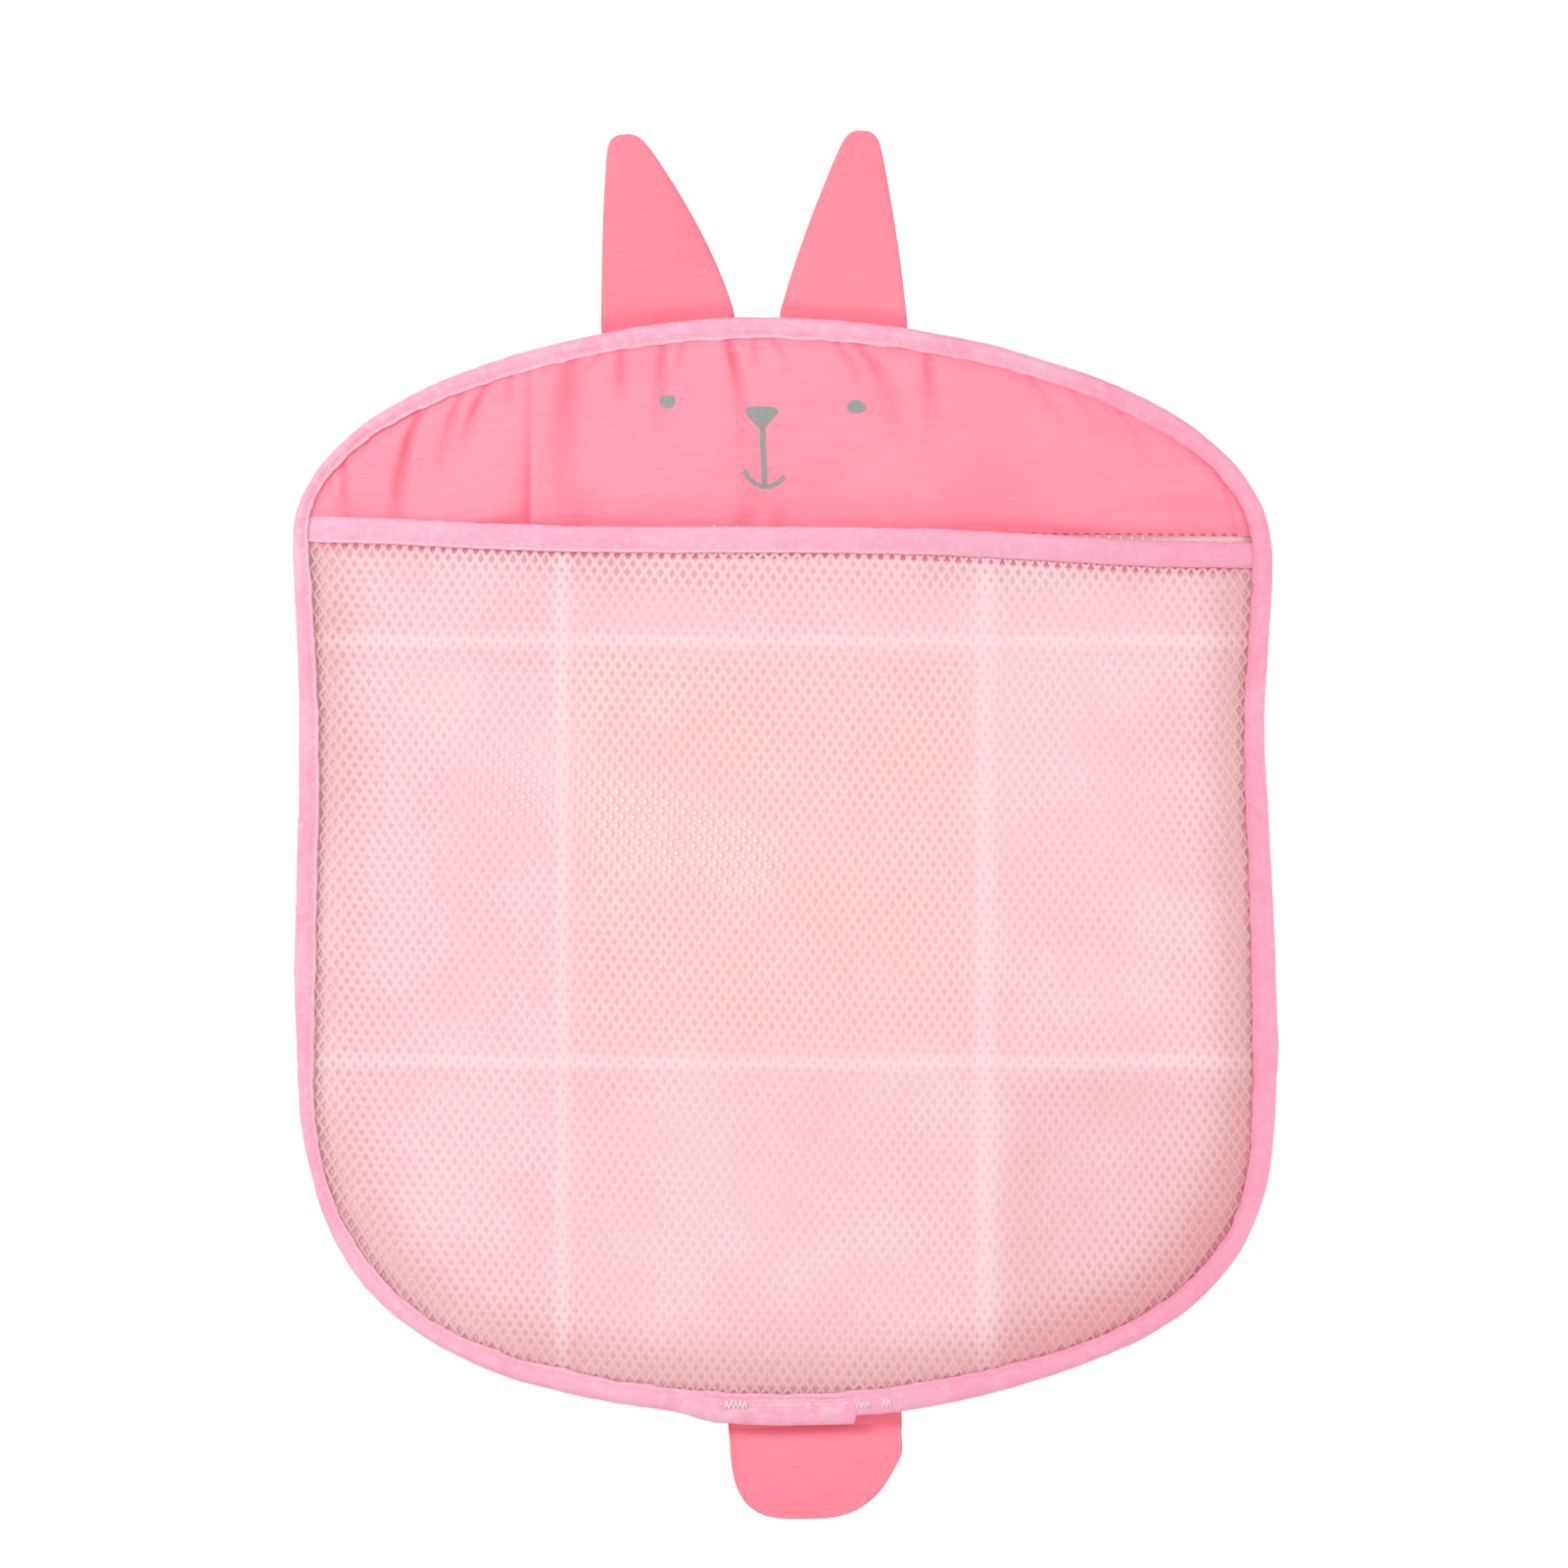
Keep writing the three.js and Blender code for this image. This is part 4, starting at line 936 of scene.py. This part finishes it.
def panelShade(x, z, dip):  # painted shade: darker in the gathers, beside the binding and along the ribbon, and towards the right, and lighter and darker along the slanted waves
    tint = panel["tint"]
    deep = tint["fold"] * dip + tint["binding"] * ease(-insetOf(x, z), -9.5, -6.0)
    deep += tint["ribbon"] * ease(-z, 66, 71)
    return min(max(deep + tint["right"] * ease(x, 0, 110) - tint["slanted"] * slantedWave(x, z), 0.0), 1.0)


def panelTop(share):
    return edgePoint(panelLeft + (panelRight - panelLeft) * share, panel["inset"])


points, tints = [], []
for c in range(panel["columns"] + 1):
    share = c / panel["columns"]
    top = panelTop(share)
    foot = np.array([panelTop(0)[0] * (1 - share) + panelTop(1)[0] * share, hemLine(share)])
    for r in range(panel["rows"] + 1):
        x, z = top + (foot - top) * r / panel["rows"]
        dip = panelDip(x, z)
        points.append((x, panelDepth(x, z, dip), z))
        tints.append(panelShade(x, z, dip))
faces = gridFaces(panel["columns"] + 1, panel["rows"] + 1)
panelMesh = makeObject("face_panel_cloth", points, faces, faceCloth, deepness=tints)
onBag("face_fabric", panelMesh)
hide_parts("face_panel")

# Printed face: thin films of ink that follow the cloth
panelTree = BVHTree.FromPolygons([Vector(p) for p in points], faces)
face = {
    # Eyes: place, half sizes, how square each is, and how far it is drawn out to a point on the right
    "eyes": ((-31.2, -25.4, 2.7, 2.15, 3.2, 0.0), (35.3, -27.3, 2.75, 2.35, 2.2, 0.42)), "eyePoints": 48,
    "nose": ((2.1, -34.9), (-1.2, -32.4), (-3.5, -29.4), (-3.3, -27.9), (-1.2, -27.3), (2.1, -27.2), (5.4, -27.4),
             (7.5, -28.1), (7.6, -29.5), (5.2, -32.5)),
    "stem": ((2.4, -33.9), (2.6, -40.0), (2.9, -47.0), (3.2, -55.2)),
    "smile": ((-4.1, -49.8), (-2.5, -52.3), (0.2, -54.6), (3.2, -55.5), (6.3, -55.0), (8.7, -53.5),
              (10.2, -51.7)),
    "stroke": 1.85, "thinStroke": 1.55, "film": 0.12, "rings": 5,
}


def onPanel(x, z):
    hit = panelTree.ray_cast(Vector((x, -200, z)), Vector((0, 1, 0)))[0]
    return (x, (hit.y if hit else panel["plane"]) - face["film"], z)


def smoothLine(knots, closedLine, steps):
    line = []
    count = len(knots)
    for k in range(count if closedLine else count - 1):
        at = [(k + d) % count if closedLine else min(max(k + d, 0), count - 1) for d in (-1, 0, 1, 2)]
        a, b, c, d = (np.array(knots[n]) for n in at)
        for n in range(steps):
            t = n / steps
            line.append(0.5 * (2 * b + (c - a) * t + (2 * a - 5 * b + 4 * c - d) * t * t
                               + (3 * b - a - 3 * c + d) * t ** 3))
    if not closedLine:
        line.append(np.array(knots[-1], float))
    return line


def printSpot(rim, points, faces):
    rings, size = face["rings"], len(rim)
    middle = sum(rim) / size
    first = len(points)
    points.append(onPanel(*middle))
    for ring in range(1, rings + 1):
        for p in rim:
            points.append(onPanel(*(middle + (p - middle) * ring / rings)))
    faces += [(first, first + 1 + (k + 1) % size, first + 1 + k) for k in range(size)]
    faces += gridFaces(rings, size, first + 1, joinColumns=True)


def printStroke(line, points, faces, wide):
    first, final = len(points), len(line) - 1
    for n, p in enumerate(line):
        way = line[min(n + 1, final)] - line[max(n - 1, 0)]
        side = np.array([-way[1], way[0]]) / np.linalg.norm(way)
        tip = min(min(n, final - n) / 3, 1)
        here = wide / 2 * math.sqrt(max(1 - (1 - tip) ** 2, 0.06)) * (1 + 0.08 * wander(p[0], p[1], 3, 4.2))
        for s in (-1, -0.5, 0, 0.5, 1):
            points.append(onPanel(*(p + side * here * s)))
    faces += gridFaces(len(line), 5, first, turned=True)


prints = []
for label, (x, z, halfWide, halfHigh, square, drawn) in zip(("left", "right"), face["eyes"]):
    rim = []
    for k in range(face["eyePoints"]):
        angle = 2 * math.pi * k / face["eyePoints"]
        reach = (abs(math.cos(angle)) ** square + abs(math.sin(angle)) ** square) ** (-1 / square)
        reach *= 1 + 0.04 * math.sin(3 * angle + x)
        point = 1 + drawn * max(math.cos(angle), 0) ** 4
        rim.append(np.array([
            x + halfWide * reach * point * math.cos(angle), z + halfHigh * reach * math.sin(angle)]))
    points, faces = [], []
    printSpot(rim[::-1], points, faces)
    prints.append(makeObject("eye_print_" + label + "_film", points, faces, faceInk))
    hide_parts("eye_print_" + label)
points, faces = [], []
printSpot(smoothLine(face["nose"], True, 6), points, faces)
printStroke(smoothLine(face["stem"], False, 10), points, faces, face["stroke"])
printStroke(smoothLine(face["smile"], False, 8), points, faces, face["thinStroke"])
prints.append(makeObject("nose_mouth_film", points, faces, faceInk))
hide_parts("nose_mouth_print")
onBag("ink", *prints)

footLeft, footRight = (edgePoint(run, panel["seam"]["inset"])[0] for run in (panelLeft, panelRight))


def panelFoot(run):
    x, z = footLeft + run, hemLine(run / (footRight - footLeft)) + panel["seam"]["above"]
    return x, panelDepth(x, z, panelDip(x, z)), z


# A real seam along the panel's hem; its dark thread also paints the shade in the net holes there
panelSeam = seamRow("face_panel_stitches", panelFoot, footRight - footLeft, 1, hemSeamShadeThread, panel["seam"])
onBag("face_fabric", panelSeam)
cutSize, cutArea = sizeAndArea(np.array([panelTop(k / 200) for k in range(201)]))
print("face panel and print done")


# Ears and tail: two fabrics sewn round a wadding, each with a flat seam allowance behind the binding

# How far it swells either way and where, its blunt lower edge, and half the cloth's thickness
allowance = {"swell": 0.75, "from": (1.0, 3.2), "lowest": 0.006, "cloth": 0.25}
filling = {"pressure": 4.0, "cap": 4.0, "frames": 20, "mass": 0.0004, "stretch": 6, "shear": 3, "bend": 0.02}
# Painted shade on ears and tail: darker at the hinge, in the binding's shade, and along the side edges
padShade = {"hinge": 0.5, "rim": 0.25}
earShape = {"long": 67.0, "tab": 8.2, "swell": 2.3, "rows": 40, "columns": 22, "outward": 1, "rise": (0.5, 14),
            "fall": 0.16, "bow": 1.5, "tip": (40, 0.03, 0.42)}
pads = {
    "ear_left": {**earShape, "hinge": (-31.271, -22.35, 4.063), "along": (0.994671, 0, 0.103101), "lean": -8.8,
                 "base": 49.0, "taper": (0.42, 0.35)},
    "ear_right": {**earShape, "hinge": (31.206, -22.35, 4.449), "along": (0.996841, 0, -0.079422), "lean": 1.5,
                  "base": 46.8, "taper": (0.53, 0.235)},
    # The reach of each side is followed by the two powers of its curve
    "tail": {"long": 33.6, "tab": 8.2, "swell": 2.2, "rows": 30, "columns": 30, "outward": -1, "rise": (0.5, 10),
             "fall": 0.2, "hinge": (21.892, -21.45, -388.033), "along": (0.999454, 0, 0.033032),
             "left": (32.3, 3.2, 0.25), "right": (30.7, 2.2, 0.45), "bulge": (1.3, 0.34, 0.15)},
}


def padFullness(pad, out):
    return ease(out, *pad["rise"]) * ease(1 - max(out, 0.0) / pad["long"], 0.0, pad["fall"])


def earEdges(ear, out):  # left and right edge, at a distance out from the hinge
    t = max(out, 0.0) / ear["long"]
    first, second = ear["taper"]
    square, least, blunt = ear["tip"]
    half = ear["base"] / 2 * (1 - first * t - second * t * t) * max(1 - t ** square, least) ** blunt
    middle = ear["lean"] * t ** ear["bow"]
    return middle - half, middle + half


def tailEdges(tail, out):
    t = max(out, 0.0) / tail["long"]
    left, right = (
        reach * max(1 - t ** square, 0.0) ** blunt for reach, square, blunt in (tail["left"], tail["right"]))
    bulge, place, wide = tail["bulge"]
    return -left, right + bulge * hump((t - place) / wide)


def paddedMesh(name, pad, edges, along, outward, material):
    points, faces, lookup, tints, sewn = [], [], {}, [], []
    rows, columns = pad["rows"] + 1, pad["columns"]
    shares = [0.0, allowance["lowest"]] + [1 - (1 - r / pad["rows"]) ** 1.5 for r in range(1, rows)]

    def vertex(r, c, layer):
        rim = c in (0, columns) or r in (0, rows)
        key = (r, c, 0 if rim else layer)
        if key not in lookup:
            out = (pad["tab"] + pad["long"]) * shares[r] - pad["tab"]
            left, right = edges(pad, out)
            puff = padFullness(pad, out)
            s = c / columns
            off = allowance["cloth"] + pad["swell"] * puff * (4 * s * (1 - s)) ** 0.7
            off += allowance["swell"] * ease(-out, *allowance["from"])
            at = Vector(pad["hinge"]) + along * (left + (right - left) * s) + outward * out
            lookup[key] = len(points)
            if puff < 0.02:
                sewn.append(len(points))
            points.append((at.x, at.y - (0 if rim else layer * off), at.z))
            hingeShade = padShade["hinge"] * ease(-abs(out), -5.0, -1.5)
            tints.append(hingeShade + padShade["rim"] * ease(abs(2 * s - 1), 0.85, 1.0))
        return lookup[key]

    for r in range(rows):
        for c in range(columns):
            for layer in (1, -1):
                quad = [vertex(r + i, c + j, layer) for i, j in ((0, 0), (0, 1), (1, 1), (1, 0))]
                quad = list(dict.fromkeys(quad))  # points that fall together count once
                if len(quad) > 2:
                    faces.append(quad if layer > 0 else quad[::-1])
    return makeObject(name, points, faces, material, deepness=tints), sewn


def stuff(obj, sewn):
    start = [v.co.copy() for v in obj.data.vertices]
    group = obj.vertex_groups.new(name="sewn")
    group.add(sewn, 1.0, "REPLACE")
    cloth = obj.modifiers.new("wadding", "CLOTH")
    for key, value in (
            ("quality", 8), ("mass", filling["mass"]), ("tension_stiffness", filling["stretch"]),
            ("compression_stiffness", filling["stretch"]), ("shear_stiffness", filling["shear"]),
            ("bending_stiffness", filling["bend"]), ("use_pressure", True),
            ("uniform_pressure_force", filling["pressure"]), ("vertex_group_mass", "sewn")):
        setattr(cloth.settings, key, value)
    cloth.settings.effector_weights.gravity = 0
    cloth.point_cache.frame_start = 1
    cloth.point_cache.frame_end = filling["frames"]
    for step in range(1, filling["frames"] + 1):
        scene.frame_set(step)
    moved = [v.co.copy() for v in evaluated(obj).to_mesh().vertices]
    evaluated(obj).to_mesh_clear()
    obj.modifiers.remove(cloth)
    scene.frame_set(1)
    most = 0.0
    for v, a, b in zip(obj.data.vertices, start, moved):
        step = b - a
        most = max(most, step.length)
        if step.length > filling["cap"] * mm:
            step = step.normalized() * filling["cap"] * mm
        v.co = a + step
    print(obj.name, "swelled by", round(most / mm, 2), "mm at most")
    smoothing = obj.modifiers.new("round", "SUBSURF")
    smoothing.levels = smoothing.render_levels = 1
    finished = bpy.data.meshes.new_from_object(evaluated(obj))
    obj.modifiers.remove(smoothing)
    finished.polygons.foreach_set("use_smooth", [True] * len(finished.polygons))
    obj.data = finished
    obj.vertex_groups.clear()


for name, pad in pads.items():
    edges, material = (tailEdges, tailCloth) if name == "tail" else (earEdges, earCloth)
    along = Vector(pad["along"])
    outward = Vector((-along.z, 0, along.x)) * pad["outward"]
    padMesh, sewn = paddedMesh(name + "_padded", pad, edges, along, outward, material)
    stuff(padMesh, sewn)
    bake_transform(padMesh)
    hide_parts(name + "_front", name + "_back", name + "_wadding", name + "_allowance")
print("ears and tail done")


# Hanging loops: tape sewn down at both ends behind each ear

sides = (("left", -31.05), ("right", 31.05))  # where the two loops, hooks and cups are
loop = {
    "span": 40.0, "wide": 10.0, "top": 2.0, "thick": 0.8, "near": -16.6, "sewn": -20.75, "steps": 48,
    "sway": 0.12, "flat": (0.01, 0.0425), "bend": (0.17, 0.36),
    # A quarter of its section: distances in from an edge, and shares of half the thickness there
    "edge": ((0, 0), (0.15, 0.8), (0.6, 1.0)), "middle": 0.85,
    "tacks": {"count": 8, "apart": 0.4, "end": 1.6, "edge": 1.3, "lean": 0.3, "off": 0.05, "thick": 0.4,
              "rise": ((0, -0.3), (0.12, 0.1), (0.5, 0.22), (0.88, 0.1), (1, -0.3))},
}


def loopDepth(x):  # round the hook in the middle, and on the binding towards both ends
    bent = ease(abs(x), *(loop["span"] * share for share in loop["bend"]))
    return loop["near"] + (loop["sewn"] - loop["near"]) * bent


half, thin = loop["wide"] / 2, loop["thick"] / 2
loopSection = [(-half + up, thin * off) for up, off in loop["edge"]] + [(0, thin * loop["middle"])]
loopSection += [(half - up, thin * off) for up, off in loop["edge"][::-1]]
loopSection += [(-up, -off) for up, off in loopSection[1:]]
tacks = loop["tacks"]
for label, middle in sides:
    rings, lengths = [], []
    for k in range(loop["steps"] + 1):
        x = loop["span"] * (k / loop["steps"] - 0.5)
        slope = (loopDepth(x + 0.2) - loopDepth(x - 0.2)) / 0.4
        lean = Vector((-slope, 1, 0)).normalized()
        ring = []
        for up, off in loopSection:
            sway = loop["sway"] * wander(x, up, 6, math.copysign(3.0, middle))
            ring.append((
                middle + x + lean.x * off, loopDepth(x) + lean.y * (off + sway), loop["top"] - half + up))
        rings.append(ring)
        lengths.append(x + loop["span"] / 2)
    loopMesh = tapeSurface("hanging_loop_" + label + "_tape", rings, edgeTape, False, lengths)
    closeShell(loopMesh)
    points, faces = [], []
    for end in (-1, 1):
        for n in range(tacks["count"]):
            x = middle + end * (loop["span"] / 2 - tacks["end"] - tacks["apart"] * n)
            path = []
            for share, rise in tacks["rise"]:
                z = loop["top"] - loop["wide"] + tacks["edge"] + (loop["wide"] - 2 * tacks["edge"]) * share
                slant = tacks["lean"] * (-1) ** n * (share - 0.5)
                path.append((x + slant, loop["sewn"] + thin + tacks["off"] + rise, z))
            threadTube(points, faces, path, tacks["thick"])
    loopTacks = makeObject("loop_tacks_" + label, points, faces, seamThread)
    onBag("ribbon", loopMesh, loopTacks)
    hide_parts("hanging_loop_" + label)


# Suction cups and hooks

cup = {
    "rim": 19.0, "segments": 72,
    "profile": ((0.0, 5.5), (3.5, 5.35), (6.84, 4.73), (9.8, 3.6), (12.54, 2.31), (14.6, 1.0), (16.0, 0.05),
                (18.7, 0.0), (19.0, 0.3), (19.0, 1.0), (18.5, 1.7), (15.96, 3.0), (13.6, 5.0), (11.4, 6.66),
                (8.2, 8.2), (5.4, 8.95), (3.9, 9.15), (3.5, 9.5), (3.5, 12.2), (3.7, 12.55), (4.8, 12.6),
                (5.2, 12.9), (5.2, 14.0), (4.6, 15.1), (3.4, 15.55), (0.0, 15.6)),
    "tab": {"long": 8.0, "wide": 9.0, "thick": 0.95, "off": 0.12, "under": 0.4, "straight": 0.72, "blunt": 0.75,
            "thinned": 0.35, "ridge": 0.35, "halfWaves": 9, "ridgesFrom": (0.3, 0.4), "ridgesTo": (0.05, 0.15),
            "across": 10, "down": 24},
}
hook = {"radius": 0.55}  # of its moulded edges


def cupPoints(middle):
    points = []
    turns = cup["segments"]
    for radius, depth in cup["profile"]:
        for s in range(turns):
            angle = 2 * math.pi * s / turns
            points.append((middle + radius * math.cos(angle), -depth, radius * math.sin(angle)))
    faces = gridFaces(len(cup["profile"]), turns, joinColumns=True, turned=True)
    # Pull tab below the rim, with grip ridges
    tab = cup["tab"]
    across, down, straight = tab["across"], tab["down"], tab["straight"]
    first = len(points)
    for layer in (0, 1):
        for r in range(down + 1):
            for c in range(across + 1):
                s = c / across * 2 - 1
                t = r / down
                end = max(t - straight, 0) / (1 - straight)
                half = tab["wide"] / 2 * math.sqrt(1 - tab["blunt"] * end ** 2)
                ridge = tab["ridge"] * max(math.sin(t * tab["halfWaves"] * math.pi), 0)
                ridge *= ease(t, *tab["ridgesFrom"]) * ease(1 - t, *tab["ridgesTo"])
                top = -math.sqrt(cup["rim"] ** 2 - (half * s) ** 2) + tab["under"]
                z = top + (-cup["rim"] - tab["long"] - top) * t
                proud = layer * (tab["thick"] + ridge) * (1 - tab["thinned"] * abs(s) ** 6)
                points.append((middle + half * s, -tab["off"] - proud, z))
    wide = across + 1
    size = (down + 1) * wide
    for r in range(down):
        for c in range(across):
            a = first + r * wide + c
            faces.append((a, a + wide, a + wide + 1, a + 1))
            faces.append((a + size + 1, a + size + wide + 1, a + size + wide, a + size))
    border = [first + c for c in range(across)] + [first + r * wide + across for r in range(down)]
    border += [first + down * wide + c for c in range(across, 0, -1)]
    border += [first + r * wide for r in range(down, 0, -1)]
    for a, b in zip(border, border[1:] + border[:1]):
        faces.append((a, b, b + size, a + size))
    return points, faces


def softenEdges(obj, wide):
    shape = bmesh.new()
    shape.from_mesh(obj.data)
    bmesh.ops.remove_doubles(shape, verts=shape.verts, dist=1e-6)
    bmesh.ops.dissolve_limit(shape, angle_limit=math.radians(2), verts=shape.verts, edges=shape.edges)
    shape.to_mesh(obj.data)
    shape.free()
    rounding = obj.modifiers.new("mould radius", "BEVEL")
    rounding.width = wide * mm
    rounding.segments = 3
    rounding.limit_method = "ANGLE"
    rounding.angle_limit = math.radians(40)
    rounding.harden_normals = True
    obj.data = bpy.data.meshes.new_from_object(evaluated(obj))
    obj.modifiers.clear()


for label, middle in sides:
    cupMesh = makeObject("suction_cup_" + label + "_moulded", *cupPoints(middle), cupVinyl)
    closeShell(cupMesh)
    hookMesh = bpy.data.objects.new(
        "wall_hook_" + label + "_moulded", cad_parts["wall_hook_" + label].data.copy())
    scene.collection.objects.link(hookMesh)
    hookMesh.data.materials.clear()
    hookMesh.data.materials.append(hookPlastic)
    softenEdges(hookMesh, hook["radius"])
    for piece, node, slot in ((cupMesh, "suction_cup_", "clear_vinyl"), (hookMesh, "wall_hook_", "hook_plastic")):
        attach(piece, "wall_fixings")
        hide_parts(node + label)
print("loops, hooks and cups done")


# Studio: a pale floor well below, soft lamps, a white world behind

studio = {
    "floor": -600.0, "floorReach": 1250.0, "floorMiddle": -20.0, "floorPoints": 96, "floorWhite": 0.7,
    "ambient": 0.57, "aim": (0.01, -0.03, -0.16),
    # Lamps: place, size and power, in metres and watts
    "lamps": {
        "key lamp": ((-1.25, -1.2, 0.7), 0.8, 15.9), "fill lamp": ((1.1, -1.2, 0.1), 1.2, 4.2),
        "side lamp": ((1.5, -0.25, -0.2), 1.0, 4.5), "back lamp": ((-0.6, 1.6, 0.9), 1.2, 8.0),
    },
}
paintLook = {"colour": "#F4F2F1", "grain": 4.0, "rough": (0.75, 0.9)}


def seenDirectly(add):  # 1 for what the camera sees, also in gloss and through clear pieces
    rays = add("LightPath").outputs
    seen = add("Math", {"operation": "MAXIMUM"}, {0: rays["Is Camera Ray"], 1: rays["Is Glossy Ray"]})
    return add("Math", {"operation": "MAXIMUM"}, {0: seen, 1: rays["Is Transmission Ray"]})


def mattPaint(add, place, look):
    # Matt paint with a faint roller grain, partly white where it is seen, so that it keeps the object's shadow
    grain = add("TexNoise", {"Scale": perMetre(look["grain"]), "Detail": 2.0}, {"Vector": place})
    matt = add("MapRange", {"To Min": look["rough"][0], "To Max": look["rough"][1]}, {"Value": grain})
    paint = add("BsdfPrincipled", {"Base Color": linear(look["colour"])}, {"Roughness": matt})
    share = add("Math", {"operation": "MULTIPLY", 1: studio["floorWhite"]}, {0: seenDirectly(add)})
    white = add("Emission", {"Color": (1, 1, 1, 1), "Strength": 1.0})
    return add("MixShader", links={0: share, 1: paint, 2: white})


points = [(bag["setOver"], studio["floorMiddle"], studio["floor"])]
for k in range(studio["floorPoints"]):
    angle = 2 * math.pi * k / studio["floorPoints"]
    points.append((bag["setOver"] + studio["floorReach"] * math.cos(angle),
                   studio["floorMiddle"] + studio["floorReach"] * math.sin(angle), studio["floor"]))
faces = [(0, k, k % studio["floorPoints"] + 1) for k in range(1, studio["floorPoints"] + 1)]
makeObject("studio_floor", points, faces, makeMaterial("matt painted floor", mattPaint, paintLook))

world = bpy.data.worlds.new("white studio")
scene.world = world
world.use_nodes = True
world.node_tree.nodes.clear()
add = partial(addNode, world.node_tree)
around = add("Background", {"Color": (1, 1, 1, 1), "Strength": studio["ambient"]})
behind = add("Background", {"Color": (1, 1, 1, 1), "Strength": 1.0})
both = add("MixShader", links={0: seenDirectly(add), 1: around, 2: behind})
add("OutputWorld", links={"Surface": both})

for name, (place, size, power) in studio["lamps"].items():
    light = bpy.data.lights.new(name, "AREA")
    light.shape = "DISK"
    light.size = size
    light.energy = power
    lamp = bpy.data.objects.new(name, light)
    scene.collection.objects.link(lamp)
    lamp.location = place
    lamp.rotation_euler = (Vector(studio["aim"]) - Vector(place)).to_track_quat("-Z", "Y").to_euler()

# Camera: square on to the front through a long lens, the whole 555.5 mm wide view of the photograph
camera = bpy.data.objects.new("camera", bpy.data.cameras.new("camera"))
scene.collection.objects.link(camera)
camera.data.sensor_width = 36
camera.data.sensor_fit = "HORIZONTAL"
camera.data.lens = 36 * view["away"] / view["wide"]
camera.data.clip_end = 20
camera.location = (view["middle"][0] * mm, (pocket["netPlane"] - view["away"]) * mm, view["middle"][1] * mm)
camera.rotation_euler = (math.pi / 2, 0, 0)
scene.camera = camera
print("studio done")
